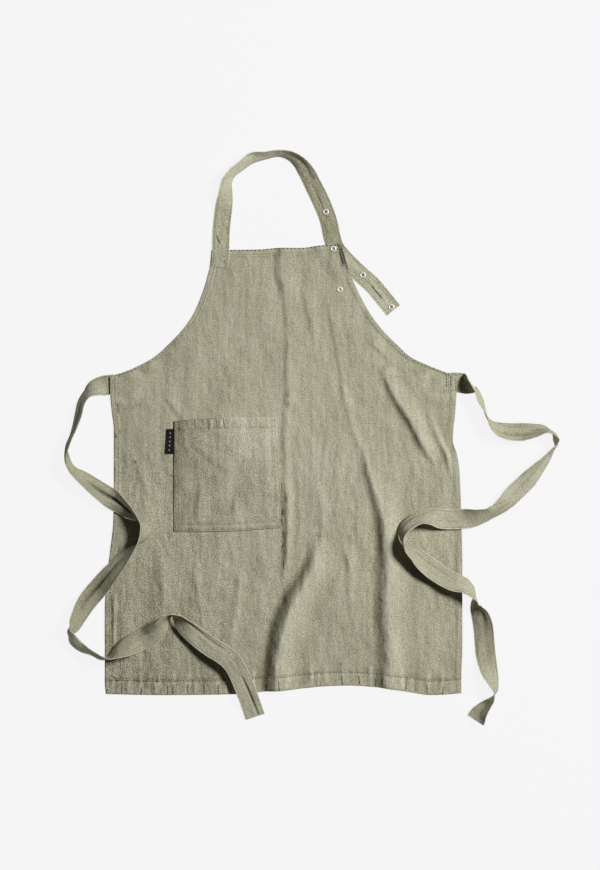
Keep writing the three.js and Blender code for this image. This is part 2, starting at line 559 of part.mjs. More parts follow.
// A flat band laid along its table of sections
function band(rows, width) {
  const knots = travelled(rows);
  const total = knots[knots.length - 1];
  const read = {};
  for (const name of ['x', 'y', 'roll', 'lift', 'on', 'lean']) {
    read[name] = column(rows, knots, name, name !== 'x' && name !== 'y');
  }
  const count = Math.round(total / BAND_STEP);
  const sections = [];
  for (let k = 0; k <= count; k += 1) {
    const at = (total * k) / count;
    const ahead = Math.min(at + 1, total);
    const behind = Math.max(at - 1, 0);
    const run = new THREE.Vector2(read.x(ahead) - read.x(behind), read.y(ahead) - read.y(behind)).normalize();
    const roll = THREE.MathUtils.degToRad(read.roll(at));
    sections.push({ at, x: read.x(at), y: read.y(at), run, roll, lift: read.lift(at), on: read.on(at), lean: read.lean(at) });
  }
  const rest = sections.map((s) => {
    let height = 0;
    for (let u = -1; u <= 1; u += 0.25) {
      const x = s.x - s.run.y * Math.cos(s.roll) * u * width * 0.5;
      const y = s.y + s.run.x * Math.cos(s.roll) * u * width * 0.5;
      const ground = s.on > 0.5 && onBody(x, y) ? bodyTop(x, y) + HEM_EXTRA + BAND_CLEAR : 0;
      height = Math.max(height, ground - u * width * 0.5 * Math.sin(s.roll));
    }
    return height + Math.abs(Math.cos(s.roll)) * BAND_THICK * 0.5;
  });
  const edge = sections.map((s) => Math.abs(Math.sin(s.roll)) * width * 0.5 + Math.abs(Math.cos(s.roll)) * BAND_THICK * 0.5);
  const base = rest.map((height, k) => height - edge[k]);
  const ground = evened(base, 2);
  const raised = evened(edge, 1);
  const centres = sections.map((s, k) => {
    const height = edge[k] + (raised[k] - edge[k]) * ease((s.at - SEWN_RUN) / SEWN_RUN);
    return new THREE.Vector3(s.x, s.y, ground[k] + height + s.lift);
  });
  const points = [];
  const faces = [];
  sections.forEach((s, k) => {
    const forward = centres[Math.min(k + 1, count)].clone().sub(centres[Math.max(k - 1, 0)]).normalize();
    const aside = new THREE.Vector3(-forward.y, forward.x, 0).normalize();
    const up = forward.clone().cross(aside);
    const across = aside.multiplyScalar(Math.cos(s.roll)).addScaledVector(up, Math.sin(s.roll));
    const face = forward.clone().cross(across);
    across.addScaledVector(forward, s.lean);
    for (const [a, f] of [[1, 1], [-1, 1], [-1, -1], [1, -1]]) {
      const p = centres[k].clone().addScaledVector(across, a * width * 0.5).addScaledVector(face, f * BAND_THICK * 0.5);
      points.push([p.x, p.y, Math.max(p.z, 0)]);
    }
  });
  for (let k = 0; k < count; k += 1) {
    for (let c = 0; c < 4; c += 1) {
      const a = k * 4 + c;
      const b = k * 4 + ((c + 1) % 4);
      if (c < 2) faces.push([a, b, b + 4], [a, b + 4, a + 4]);
      else faces.push([a, b, a + 4], [b, b + 4, a + 4]);
    }
  }
  const end = count * 4;
  faces.push([0, 2, 1], [0, 3, 2], [end, end + 1, end + 2], [end, end + 2, end + 3]);
  return solid(points, faces);
}

// A turned snap ring, open in the middle or with a recessed floor
function snapRing(snap) {
  const hem = snap.on === 'hem' ? HEM_EXTRA : 0;
  const cloth = snap.on === 'strap' ? BAND_THICK : bodyTop(snap.x, snap.y) + hem;
  const base = cloth + GAP;
  const rim = [
    { r: SNAP_OUTER - 0.4, z: 0 },
    { r: SNAP_OUTER, z: SNAP_HEIGHT * 0.4 },
    { r: SNAP_OUTER - 0.8, z: SNAP_HEIGHT },
    { r: SNAP_INNER + 0.7, z: SNAP_HEIGHT },
    { r: SNAP_INNER, z: SNAP_HEIGHT * 0.6 },
  ];
  const profile = snap.open
    ? [...rim, { r: SNAP_INNER, z: 0 }]
    : [{ r: 0, z: 0 }, ...rim, { r: SNAP_INNER, z: SNAP_FLOOR }, { r: 0, z: SNAP_FLOOR }];
  const points = [];
  const rings = profile.map(({ r, z }) => {
    const first = points.length;
    const count = r === 0 ? 1 : SNAP_SIDES;
    for (let k = 0; k < count; k += 1) {
      const angle = (2 * Math.PI * k) / SNAP_SIDES;
      points.push([snap.x + r * Math.cos(angle), snap.y + r * Math.sin(angle), base + z]);
    }
    return (k) => first + (k % count);
  });
  const faces = [];
  const pairs = snap.open ? rings.length : rings.length - 1;
  for (let i = 0; i < pairs; i += 1) {
    const low = rings[i];
    const high = rings[(i + 1) % rings.length];
    for (let k = 0; k < SNAP_SIDES; k += 1) {
      if (low(k) !== low(k + 1)) faces.push([low(k), low(k + 1), high(k + 1)]);
      if (high(k) !== high(k + 1)) faces.push([low(k), high(k + 1), high(k)]);
    }
  }
  return solid(points, faces);
}

const apron = new THREE.Group();
apron.name = 'bib_apron';

function add(name, geometry, color, roughness, metalness) {
  const material = new THREE.MeshStandardMaterial({ color, roughness, metalness });
  const mesh = new THREE.Mesh(geometry, material);
  mesh.name = name;
  apron.add(mesh);
}

add('apron_body', apronBody(), LINEN, 0.9, 0);
add('pocket', pocket(), LINEN, 0.9, 0);
add('pocket_label', pocketTab(), TAB_BLACK, 0.8, 0);
add('neck_strap', band(NECK, STRAP_WIDTH), LINEN, 0.9, 0);
add('waist_tie_left', band(LEFT_TIE, TIE_WIDTH), LINEN, 0.9, 0);
add('waist_tie_right', band(RIGHT_TIE, TIE_WIDTH), LINEN, 0.9, 0);
for (const snap of SNAPS) {
  add(snap.name, snapRing(snap), SNAP_SILVER, 0.35, 0.9);
}

export default apron;
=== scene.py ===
# Linen bib apron laid flat, face up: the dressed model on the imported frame.
# Sizes are in millimetres until a mesh is made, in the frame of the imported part.
import math
import bpy
import numpy as np
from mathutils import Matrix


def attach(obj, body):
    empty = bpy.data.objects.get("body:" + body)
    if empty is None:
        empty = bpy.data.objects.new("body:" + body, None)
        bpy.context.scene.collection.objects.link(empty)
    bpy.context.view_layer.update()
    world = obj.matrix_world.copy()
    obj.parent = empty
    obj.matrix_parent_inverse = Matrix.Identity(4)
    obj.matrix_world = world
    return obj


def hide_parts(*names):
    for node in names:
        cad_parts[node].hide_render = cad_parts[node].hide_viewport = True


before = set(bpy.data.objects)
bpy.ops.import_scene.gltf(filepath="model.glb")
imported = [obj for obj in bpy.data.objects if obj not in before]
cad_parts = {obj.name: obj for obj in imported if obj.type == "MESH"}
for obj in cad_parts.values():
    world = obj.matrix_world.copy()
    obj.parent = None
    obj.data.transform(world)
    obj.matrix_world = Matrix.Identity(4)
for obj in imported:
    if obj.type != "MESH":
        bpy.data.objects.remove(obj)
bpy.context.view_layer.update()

MM = 0.001

# Cloth sizes
CLOTH = 1.2
HEM_EXTRA = 0.9
SIDE_HEM = 12.0
BOTTOM_HEM = 30.0
BIB_HEM = 12.0
GAP = 0.3
EDGE_ROUND = 1.0
GROOVE_DEPTH = 0.35
GROOVE_HALF = 1.6
BODY_WIDTH = 715.0
BODY_STEP = 3.4
CORNER_STEP = 2.2
WRINKLE = 1.5
POCKET_MOTTLE = 0.5
POCKET_GRAIN = 1.18
# Strengths of painted shade in the bands' creases and on the body's flanks that face away from the key
CREASE_SHADE = 0.42
FLANK_SHADE = 1.7
HEM_PUCKER = 2.0
SIDE_SEAM = SIDE_HEM - 2.4
BOTTOM_SEAM = BOTTOM_HEM - 2.0
BIB_SEAM = BIB_HEM - 2.4
WAIST_Y = 121.0
WAIST_BELOW = 12.0
WAIST_ABOVE = 34.0
THREAD_SINK = 0.05

# Painted light and shade on the body, in steps of painted shading
RIM_PAINTED_SHADE = -1.0
HEM_LINE_PAINTED_SHADE = -1.1
CRINKLE_PAINTED_SHADE = 1.5
CRINKLE_SPREAD = 1.1
CRINKLE_X = -53.0
CRINKLE_HALF = 7.0
LEFT_EDGE_PAINTED_SHADE = 1.5
LEFT_EDGE_SPREAD = 1.2
LOW_LEFT_PAINTED_SHADE = -0.35
MIDDLE_PAINTED_LIGHT = 0.35
# Strength of the weave on the body: all over, the skirt, its left and its lower left corner
GRAIN_BASE = 0.87
GRAIN_SKIRT = 0.15
GRAIN_LEFT = 0.35
GRAIN_CORNER = 0.40

# Pocket and its tab
POCKET_WIDTH = 210.0
POCKET_STEP = 2.0
POCKET_HEM = 20.0
POCKET_TURN = 12.0
POCKET_PUFF = 8.5
POCKET_TOPSTITCH = (3.5, 9.5)
TAB_LENGTH = 50.0
TAB_SHOWN = 17.5
TAB_TUCKED = 6.0
TAB_THICK = 0.9
TAB_SLANT = 3.0
TAB_X = -274.0
TAB_Y = -8.0
MOTIF_PLACES = (-0.34, -0.17, 0.0, 0.17, 0.34)
MOTIF_WIDE = 2.2
MOTIF_TALL = 3.0

# Straps
TIE_WIDTH = 40.0
STRAP_WIDTH = 35.0
BAND_THICK = 1.8
REST_STEP = 10.0
BAND_STEP = 1.8
BAND_CLEAR = 0.4
SEWN_RUN = 40.0
BAND_SEAM = 3.4
SEWN_END = 26.0
SEWN_DROP = 1.7
SEWN_THIN = 0.75
BAND_CUP = 1.6
BAND_RIPPLE = 0.5

# Snaps
SNAP_OUTER = 5.8
SNAP_INNER = 3.1
SNAP_HEIGHT = 1.8
SNAP_SIDES = 48
SNAP_SHOULDER = 0.45
SNAP_UNDERCUT = 0.25
SNAP_RIM_STEPS = 12

# Stitches
STITCH_LENGTH = 3.0
STITCH_WIDTH = 1.2
STITCH_HEIGHT = 0.5
STITCH_PITCH = 4.2
EDGE_STITCH = (6.0, 3.0, 1.8)
EDGE_PITCH = 8.0
HEM_STITCH = (4.8, 2.3, 1.3)
HEM_PITCH = 6.2
# Bars of stitches over the right tie's end: x, head, foot
JOINT_BARS = [
    (270, 126, 104), (279, 122, 102), (288, 118, 92),
]
# Bars of fine stitches over both ties' ends: from x, y to x, y
FINE_BARS = [
    (274, 129, 274, 92), (281, 129, 281, 92), (264, 126, 288, 126), (264, 94, 288, 94),
    (-391, 119, -391, 90), (-398, 119, -398, 90),
]
# Stitches along the armholes: inset, foot, head on the left, head on the right
ARMHOLE_INSET = 4.2
ARMHOLE_FOOT = 126.0
ARMHOLE_HEADS = (214.0, 184.0)
# Seams across the left tie at its sewn end, by station
TIE_BARS = (27.0, 35.0)
POCKET_STITCH = (3.6, 1.5, 1.1)
TUCK_SIZE = (6.5, 2.7, 1.2)
# Places across the hem of the strips of painted shade for its tucks
HEM_TUCKS = (-379, -341, -287, -277, -247, -214, -186, -88, -64, 18, 62, 96, 128, 140, 188, 232, 262)

# Strips of painted shade in the gathers of the pocket's mouth: place across, depth
POCKET_TUCKS = [
    (0.05, 17), (0.12, 13), (0.2, 18), (0.28, 13), (0.33, 20), (0.41, 18), (0.48, 16),
]
# Strips of painted shade for tucks and creases at the bib's corner, the skirt's left edge and beside the
# pocket: from x, y to x, y
EDGE_TUCKS = [
    (53, 386, 64, 350), (61, 376, 72, 338), (57, 368, 63, 344), (-400, -320, -399, -352),
    (-399, -366, -398, -384), (-387, 66, -386, 52), (-383, 14, -383, 8), (-391, 6, -390, 0),
    (-353, -47, -351, -50), (-394, -479, -388, -487), (-308, -477, -308, -487), (-60, -94, -59, -110),
    (-57, -144, -59, -154), (-60, -164, -58, -172), (-57, -188, -55, -200), (-56, -212, -58, -219),
    (-55, -248, -55, -260),
]

# Side edges of the body: y, left, right
OUTLINE = [
    (-513, -411, 300), (-489, -413, 300), (-417, -413, 302), (-345, -413, 302), (-249, -405, 302),
    (-165, -396, 300), (-97, -395, 298), (-65, -395, 296), (-33, -395, 291), (-7, -395, 283),
    (15, -395, 284), (51, -399, 288), (87, -402, 290), (121, -403, 291), (131, -373, 266),
    (145, -342, 232), (161, -314, 198), (185, -287, 172), (214, -259, 143), (247, -236, 118),
    (279, -222, 100), (315, -210, 83), (347, -203, 71), (379, -200, 61),
]
# Waviness of the skirt hem: x, rise
HEM_EDGE = [
    (-413, 0), (-293, -2), (-143, 0), (-87, 6), (-43, 9), (37, 16), (77, 17), (127, 14), (177, 8),
    (207, 2), (237, -2), (267, -1), (301, 2),
]
# Slope of the bib top: x, rise
BIB_EDGE = [
    (-201, -4), (-163, -4), (-99, -3), (-67, 0), (-23, 0), (23, 5), (61, 6),
]
# Side edges of the pocket: y, left, right
POCKET_SIDES = [
    (-187, -275, -62), (-125, -275, -59), (-71, -275, -63), (-17, -274, -67), (37, -274, -70),
]
# Pocket mouth and foot: x, rise
POCKET_MOUTH = [
    (-274, -4), (-213, 1), (-169, 3), (-70, 3),
]
POCKET_FOOT = [
    (-275, -2), (-178, -1), (-63, 6),
]
# Zeros at the end of a row are left off in the tables of folds and bands.
# Main folds, each by the rows of its crest: x, y, height, left reach, right reach, flat half width
MAIN_FOLDS = {
    "skirt_left": [
        (13, -197, 0, 20, 45), (11, -245, 9, 24, 50), (-13, -297, 16, 28, 55), (-39, -345, 20, 32, 60),
        (-59, -401, 21.5, 31, 65), (-68, -461, 21.5, 30, 60), (-69, -513, 18.5, 30, 55),
    ],
    "skirt_right": [
        (107, -5, 0, 14, 45), (120, -77, 7, 16, 50), (139, -137, 11, 19, 50), (153, -205, 15.5, 26, 50),
        (156, -273, 16, 28, 55), (155, -345, 16.5, 30, 55), (158, -405, 17, 31, 55),
        (159, -513, 15, 31, 55),
    ],
    "waist": [
        (143, 139, 0, 10, 40), (165, 87, 8, 11, 40), (197, 37, 10, 13, 40), (223, -11, 8, 13, 36),
        (251, -53, 0, 11, 36),
    ],
    "strap_room": [(36, 402, 2.6, 26, 26, 22), (57, 368, 2.6, 26, 26, 22), (80, 344, 2.6, 26, 26, 22)],
    "left_tie_room": [(-420, 105, 2.6, 26, 26, 26), (-372, 105, 2.6, 26, 26, 26)],
    "right_tie_room": [(260, 109, 2.6, 26, 26, 26), (310, 109, 2.6, 26, 26, 26)],
}
# Small creases and nips, in the same columns
SMALL_FOLDS = {
    "side_nip": [(237, 55, 0, 8, 16), (257, -5, 3, 8, 14), (271, -33, 4, 8, 12), (283, -85, 0, 8, 12)],
    "edge_nip": [(283, 15, 0, 7, 12), (287, -15, 3, 7, 12), (291, -49, 0, 7, 12)],
    "bib_corner": [(63, 385, 6.5, 11, 9), (69, 359, 6, 11, 8), (77, 335, 3.5, 10, 8), (83, 315, 0, 9, 8)],
    "bib_press": [
        (-55, 377, 4.6, 18, 34), (-61, 339, 4.4, 18, 34), (-51, 295, 3.8, 16, 34),
        (-45, 251, 2.4, 14, 32), (-43, 175, 2.4, 14, 32), (-45, 75, 1.8, 12, 28),
    ],
    "press": [
        (-45, 75, 1.6, 12, 26), (-51, 15, 1.8, 10, 20), (-49, -65, 2.2, 9, 18), (-45, -165, 2.6, 9, 18),
        (-49, -245, 2.2, 9, 18), (-55, -295, 0, 9, 16),
    ],
    "bib_middle": [
        (-13, 311, 0, 12, 24), (-5, 263, 1.8, 12, 24), (5, 215, 1.4, 12, 24), (13, 171, 0, 12, 24),
    ],
    "bib_lower": [
        (39, 265, 0, 10, 22), (47, 215, 1.9, 10, 22), (55, 171, 1.2, 10, 22), (63, 131, 1, 10, 22),
        (67, 91, 1.8, 10, 22), (77, 51, 1.4, 10, 22), (93, -5, 1.6, 10, 22), (105, -55, 0, 10, 22),
    ],
    "bib_right": [
        (97, 211, 0, 12, 24), (133, 183, 2, 12, 24), (173, 147, 1.6, 12, 24), (205, 131, 0, 12, 24),
    ],
    "skirt_middle": [
        (69, -205, 0, 10, 26), (79, -253, 2.6, 10, 26), (81, -301, 2.2, 10, 26), (73, -349, 0, 10, 26),
    ],
    "skirt_inner": [
        (13, -65, 0, 12, 26), (21, -125, 1.8, 12, 26), (25, -185, 1.4, 12, 26), (21, -237, 0, 12, 26),
    ],
    "left_edge": [
        (-397, -305, 0, 4, 12), (-395, -337, 2.2, 4, 12), (-395, -405, 2.2, 4, 12),
        (-395, -429, 0, 4, 12),
    ],
    "left_waist": [
        (-291, 91, 0, 10, 22), (-275, 67, 2, 10, 22), (-255, 43, 1.4, 10, 22), (-243, 27, 0, 10, 22),
    ],
    "left_side": [
        (-361, -21, 0, 8, 18), (-349, -49, 1.1, 8, 18), (-333, -89, 1, 8, 18), (-323, -121, 0, 8, 18),
    ],
    "left_skirt_a": [
        (-303, -205, 0, 12, 26), (-297, -257, 1.6, 12, 26), (-293, -317, 1.8, 12, 26),
        (-295, -377, 0, 12, 26),
    ],
    "left_skirt_b": [
        (-231, -205, 0, 12, 26), (-227, -285, 1.6, 12, 26), (-217, -345, 1.4, 12, 26),
        (-211, -405, 0, 12, 26),
    ],
    "left_skirt_c": [
        (-135, -245, 0, 12, 26), (-143, -305, 1.8, 12, 26), (-151, -365, 1.8, 12, 26),
        (-159, -425, 0, 12, 26),
    ],
}
# Creases of the pocket, in the same columns
POCKET_FOLDS = {
    "pocket_diagonal": [
        (-242, 3, 0, 14, 26), (-214, -25, 2.2, 14, 28), (-178, -53, 1.8, 14, 28), (-142, -73, 0, 14, 26),
    ],
    "pocket_left": [
        (-214, -81, 0, 12, 24), (-222, -125, 2.2, 12, 24), (-224, -165, 1.8, 12, 24),
        (-222, -181, 0, 12, 24),
    ],
    "pocket_middle": [(-142, -97, 0, 12, 24), (-150, -137, 1.8, 12, 24), (-148, -173, 0, 12, 24)],
}
# Bands: x, y, roll in degrees, lift, 1 where it lies on the body, slant of the section along the band
LEFT_TIE = [
    (-375, 105, 0), (-408, 105, 0), (-421, 102, 10), (-436, 95, 40), (-449, 85, 63), (-458, 71, 64),
    (-464, 48, 65), (-471, 23, 70), (-479, 1, 76), (-485, -18, 80), (-486, -27, 86), (-486, -37, 94),
    (-485, -46, 99), (-481, -57, 104), (-473, -67, 112), (-457, -79, 126), (-432, -98, 143, 0, 1),
    (-409, -115, 160, 0, 1), (-387, -131, 205, 1, 1), (-368, -145, 228, 1, 1), (-351, -159, 252, 1, 1),
    (-335, -174, 285, 1, 1), (-331, -187, 296, 1, 1), (-336, -201, 288, 1, 1), (-348, -215, 266, 1, 1),
    (-364, -230, 242, 1, 1), (-393, -263, 216, 1, 1), (-423, -298, 190, 0, 1), (-450, -331, 158, 0, 1),
    (-465, -358, 137), (-476, -381, 116, 0, 0, -0.2), (-481, -387, 89, 0, 0, -0.4),
    (-478, -394, 68, 0, 0, -0.14), (-472, -406, 56), (-459, -418, 58, 0, 0, 0.15),
    (-443, -425, 73, 0, 0, 0.08), (-429, -431, 79), (-415, -437, 82, 1, 1), (-404, -437, 94, 2, 1),
    (-392, -431, 114, 4, 1), (-373, -421, 142, 6, 1), (-347, -408, 170, 7, 1), (-322, -396, 190, 7, 1),
    (-302, -379, 222, 6, 1), (-290, -361, 248, 5, 1), (-278, -352, 262, 5, 1), (-266, -359, 240, 5, 1),
    (-251, -376, 211, 5, 1), (-225, -399, 186, 8, 1), (-199, -418, 172, 13, 1), (-174, -433, 171, 17, 1),
    (-155, -451, 178, 17, 1), (-141, -479, 180, 14, 1), (-128, -511, 180, 10, 1), (-112, -558, 180, 3),
]
RIGHT_TIE = [
    (263, 109, 0), (300, 109, 2), (311, 106, 32), (321, 102, 74, 0, 0, -0.26),
    (324, 100, 89, 0, 0, -0.38), (327, 97, 104, 0, 0, 0.04), (338, 75, 109), (345, 58, 101),
    (351, 43, 96), (361, 26, 112), (375, 16, 134), (393, 12, 148), (417, 11, 154), (441, 13, 136),
    (469, 15, 108, 0, 0, 0.06), (479, 10, 96, 0, 0, 0.24), (485, 3, 85, 0, 0, 0.2),
    (487, -5, 78, 0, 0, 0.02), (487, -14, 88, 0, 0, -0.1), (481, -23, 102, 0, 0, -0.05), (468, -42, 116),
    (449, -65, 135), (429, -88, 156), (404, -112, 160), (380, -135, 140), (359, -150, 126),
    (332, -159, 146, 0, 1), (299, -163, 184, 0, 1), (265, -163, 186, 0, 1), (237, -158, 216, 1, 1),
    (215, -160, 234, 2, 1), (197, -169, 236, 2, 1), (183, -183, 242, 2, 1), (179, -197, 257, 2, 1),
    (182, -211, 270, 2, 1), (190, -221, 292, 3, 1), (205, -232, 312, 4, 1), (225, -250, 332, 5, 1),
    (253, -271, 344, 5, 1), (281, -287, 336, 5, 1), (304, -295, 318, 3, 1),
    (322, -310, 293, 1, 0, -0.13), (327, -317, 281, 0, 0, -0.25), (329, -323, 266, 0, 0, -0.36),
    (328, -329, 250, 0, 0, -0.18), (329, -336, 240, 0, 0, -0.08), (337, -354, 213), (343, -376, 194),
    (346, -405, 183), (349, -437, 172), (355, -465, 152), (363, -489, 124), (367, -506, 104),
    (360, -522, 82), (349, -533, 67), (337, -547, 45), (327, -564, 18),
]
NECK = [
    (-183, 340, 0, 0, 1), (-181, 375, 0, 0, 1), (-180, 415, 0), (-176, 451, 6), (-171, 485, 38),
    (-168, 509, 56), (-159, 525, 65), (-141, 540, 64), (-119, 556, 58), (-91, 562, 71), (-65, 566, 74),
    (-42, 561, 63), (-24, 548, 46), (-10, 530, 24), (3, 505, 12), (20, 471, 0), (35, 431, 0),
    (41, 403, 0), (47, 383, 0), (57, 368, 0), (72, 352, 0), (89, 335, 0), (125, 302, 0), (145, 278, 0),
    (164, 254, 0),
]
# Snap rings: node, x, y, what it sits on, open centre
SNAPS = [
    ("snap_strap_upper", 29, 451, "strap", False),
    ("snap_bib_corner", 44, 377, "hem", True),
    ("snap_bib_lower", 57, 296, "bib", True),
    ("snap_tail_middle", 103, 325, "strap", False),
    ("snap_tail_end", 160, 261, "strap", False),
]

# Creases pressed into each band: from, to along it, from, to across it, depth (minus on its back), half width
BAND_CREASES = {
    "tie_left_cloth": [
        (270, 410, 0.05, -0.2, -6, 0.17), (505, 640, 0.35, 0.1, -4.4, 0.2),
        (835, 905, -0.5, -0.45, -1.8, 0.15), (945, 1065, -0.6, -0.45, -3.4, 0.14),
        (1120, 1215, -0.15, -0.32, -4.4, 0.11), (85, 190, 0.15, 0, 3, 0.2),
    ],
    "tie_right_cloth": [
        (140, 250, 0.35, 0.3, -2.6, 0.12), (165, 235, -0.6, -0.55, -1.8, 0.12),
        (222, 262, 0, -0.3, -2.6, 0.22), (444, 490, 0.05, 1.05, -3.6, 0.06),
        (330, 440, 0.15, 0, -1.5, 0.2), (600, 655, 0.6, 0.55, -1.6, 0.12),
        (725, 830, 0.35, 0.25, 1.2, 0.15), (900, 965, -0.3, -0.1, -1.8, 0.2),
        (1085, 1132, 0.1, -0.1, 1.5, 0.15),
    ],
    "neck_strap_cloth": [
        (298, 385, 0.4, 0.2, 3.2, 0.3), (385, 470, -0.05, -0.2, 2.2, 0.12),
        (612, 674, -0.2, -0.2, 2.6, 0.09), (45, 66, 0.15, 0.65, 3.4, 0.08),
    ],
}

# Bowed sections where a band stands on edge: start, stop, bow
BAND_BOWS = {
    "tie_left_cloth": [(160, 248, 5), (652, 722, 4.5), (688, 778, 6), (745, 800, 3)],
    "tie_right_cloth": [(100, 150, 3), (252, 318, -4)],
}
# Painted light and shade along each band's length: station, tone
BAND_PAINTED_LIGHT = {
    "neck_strap_cloth": [
        (0, 0), (75, -0.25), (150, -0.1), (200, 0.6), (290, 0.7), (345, -0.3), (440, -0.7), (480, -1.1),
        (525, -1), (560, 0), (600, 0.2), (690, 0.4),
    ],
    "tie_left_cloth": [
        (0, 0), (170, -0.2), (205, -1.2), (230, -0.6), (250, -0.5), (310, -0.4), (360, 0), (560, 0),
        (595, -0.5), (630, -0.4), (670, 0), (695, 1), (760, 0.9), (790, 0), (820, -0.3), (860, 0),
        (970, 0), (1000, 0.45), (1045, 0.4), (1085, 0), (1120, 0.4), (1202, 0.5),
    ],
    "tie_right_cloth": [
        (0, 0), (130, 0), (160, -0.25), (230, -0.2), (320, 0), (350, 0.55), (430, 0.55), (470, 0.1),
        (490, 0.5), (525, 0.7), (560, 0.3), (590, 0.2), (640, 0), (905, 0), (940, -0.7), (1000, -0.7),
        (1050, 0),
    ],
}

# Looks, linear colours
LINEN_DARK = (0.150, 0.139, 0.080)
LINEN_MID = (0.430, 0.412, 0.292)
LINEN_LIGHT = (0.740, 0.725, 0.580)
# Thread colours; EDGE_THREAD also colours the strips of painted shade at the tucks, HEM_THREAD those at the
# pocket's gathers
THREAD = (0.10, 0.094, 0.06)
EDGE_THREAD = (0.05, 0.047, 0.03)
HEM_THREAD = (0.15, 0.142, 0.095)
TAB_BLACK = (0.008, 0.008, 0.008)
TAB_PALE = (0.62, 0.62, 0.60)
SNAP_METAL = (0.93, 0.92, 0.88)
SNAP_DARK = (0.190, 0.180, 0.130)
FLOOR_COLOUR = (0.045, 0.045, 0.045)
FLOOR_GLOW = 0.880

# Camera and light
PHOTO_HEIGHT = 870
MM_PER_PIXEL = 2.0
CENTRE_X = -22.6
CENTRE_Y = 5.0
CAMERA_HEIGHT = 5.0
SENSOR = 24.0
KEY_POWER = 267.0
KEY_SIZE = 1.3
KEY_DISTANCE = 5.0
KEY_ELEVATION = 51.0
KEY_AZIMUTH = 24.0
FILL_STRENGTH = 0.03
FLOOR_HALF = 60000.0
FLOOR_Z = -0.5


def ease(t):
    return 0.5 - 0.5 * np.cos(np.pi * np.clip(t, 0.0, 1.0))


def curve_slopes(values, knots, even):
    """Slopes of a smooth curve through values at knots, held back where it would overshoot."""
    rate = np.diff(values) / np.diff(knots)
    slopes = np.empty(len(values))
    slopes[0] = rate[0]
    slopes[-1] = rate[-1]
    for i in range(1, len(values) - 1):
        before, after = rate[i - 1], rate[i]
        back, ahead = knots[i] - knots[i - 1], knots[i + 1] - knots[i]
        if not even:
            slopes[i] = (before * ahead + after * back) / (back + ahead)
        elif before * after <= 0:
            slopes[i] = 0.0
        else:
            slopes[i] = 2 * before * after / (before + after)
    return slopes


def column(knots, values, even=True):
    """A column of a table as a smooth function of its knots."""
    knots = np.asarray(knots, float)
    values = np.asarray(values, float)
    slopes = curve_slopes(values, knots, even)

    def read(at):
        place = np.clip(np.asarray(at, float), knots[0], knots[-1])
        i = np.clip(np.searchsorted(knots, place, side="left") - 1, 0, len(knots) - 2)
        span = knots[i + 1] - knots[i]
        t = (place - knots[i]) / span
        t2 = t * t
        t3 = t2 * t
        low = values[i] * (2 * t3 - 3 * t2 + 1) + slopes[i] * span * (t3 - 2 * t2 + t)
        return low + values[i + 1] * (3 * t2 - 2 * t3) + slopes[i + 1] * span * (t3 - t2)

    return read


def travelled(x, y):
    return np.concatenate([[0.0], np.cumsum(np.hypot(np.diff(x), np.diff(y)))])


def noise(x, y, cell_x, cell_y, seed):
    """Smooth noise from -1 to 1 on a seeded lattice."""
    grid = np.random.RandomState(seed).rand(73, 79) * 2 - 1
    gx = np.asarray(x, float) / cell_x + 500
    gy = np.asarray(y, float) / cell_y + 500
    i = np.floor(gx).astype(int)
    j = np.floor(gy).astype(int)
    fx = gx - i
    fy = gy - j
    fx = fx * fx * (3 - 2 * fx)
    fy = fy * fy * (3 - 2 * fy)
    pick = lambda a, b: grid[(i + a) % 73, (j + b) % 79]
    low = pick(0, 0) * (1 - fx) + pick(1, 0) * fx
    high = pick(0, 1) * (1 - fx) + pick(1, 1) * fx
    return low * (1 - fy) + high * fy


def filled(rows):
    """Rows of six columns, with the zeros that were left off."""
    return np.array([tuple(row) + (0,) * (6 - len(row)) for row in rows], float)


def crest(rows):
    """A long crest over the body as a function of place."""
    table = filled(rows)
    knots = travelled(table[:, 0], table[:, 1])
    reads = [column(knots, table[:, c], c > 1) for c in range(6)]
    steps = max(int(math.ceil(knots[-1] / 8)), 1)
    stops = np.array([[read(s) for read in reads] for s in np.linspace(0, knots[-1], steps + 1)])

    def height(x, y):
        x = np.asarray(x, float)
        y = np.asarray(y, float)
        near = np.full(x.shape, 1e9)
        here = np.zeros(x.shape)
        for a, b in zip(stops[:-1], stops[1:]):
            dx, dy = b[0] - a[0], b[1] - a[1]
            t = np.clip(((x - a[0]) * dx + (y - a[1]) * dy) / (dx * dx + dy * dy), 0, 1)
            ox = x - a[0] - dx * t
            oy = y - a[1] - dy * t
            away = np.hypot(ox, oy)
            mixed = [a[c] + (b[c] - a[c]) * t for c in range(2, 6)]
            reach = np.where(ox * dy - oy * dx < 0, mixed[2], mixed[1])
            rise = mixed[0] * ease(1 - (away - mixed[3]) / reach)
            closer = away < near
            near = np.where(closer, away, near)
            here = np.where(closer, rise, here)
        return here

    return height


# Outline and height of the body
outline = np.array(OUTLINE, float)
body_left = column(outline[:, 0], outline[:, 1])
body_right = column(outline[:, 0], outline[:, 2])
hem_rise = column(*np.array(HEM_EDGE, float).T)
bib_rise = column(*np.array(BIB_EDGE, float).T)
HEM_Y = outline[0, 0]
BIB_Y = outline[-1, 0]
HEM_FADE = 160.0
BIB_FADE = 60.0
main_crests = [crest(rows) for rows in MAIN_FOLDS.values()]
small_crests = [crest(rows) for rows in SMALL_FOLDS.values()]


def waved(x, level):
    """Place up the body of a level, with the waviness of the hem and the bib's top."""
    y = level + hem_rise(x) * (1 - ease((level - HEM_Y) / HEM_FADE))
    return y + bib_rise(x) * (1 - ease((BIB_Y - level) / BIB_FADE))


def on_body(x, y):
    margin = 4.0
    inside = (y > HEM_Y + hem_rise(x) - margin) & (y < BIB_Y + bib_rise(x) + margin)
    return inside & (x > body_left(y) - margin) & (x < body_right(y) + margin)


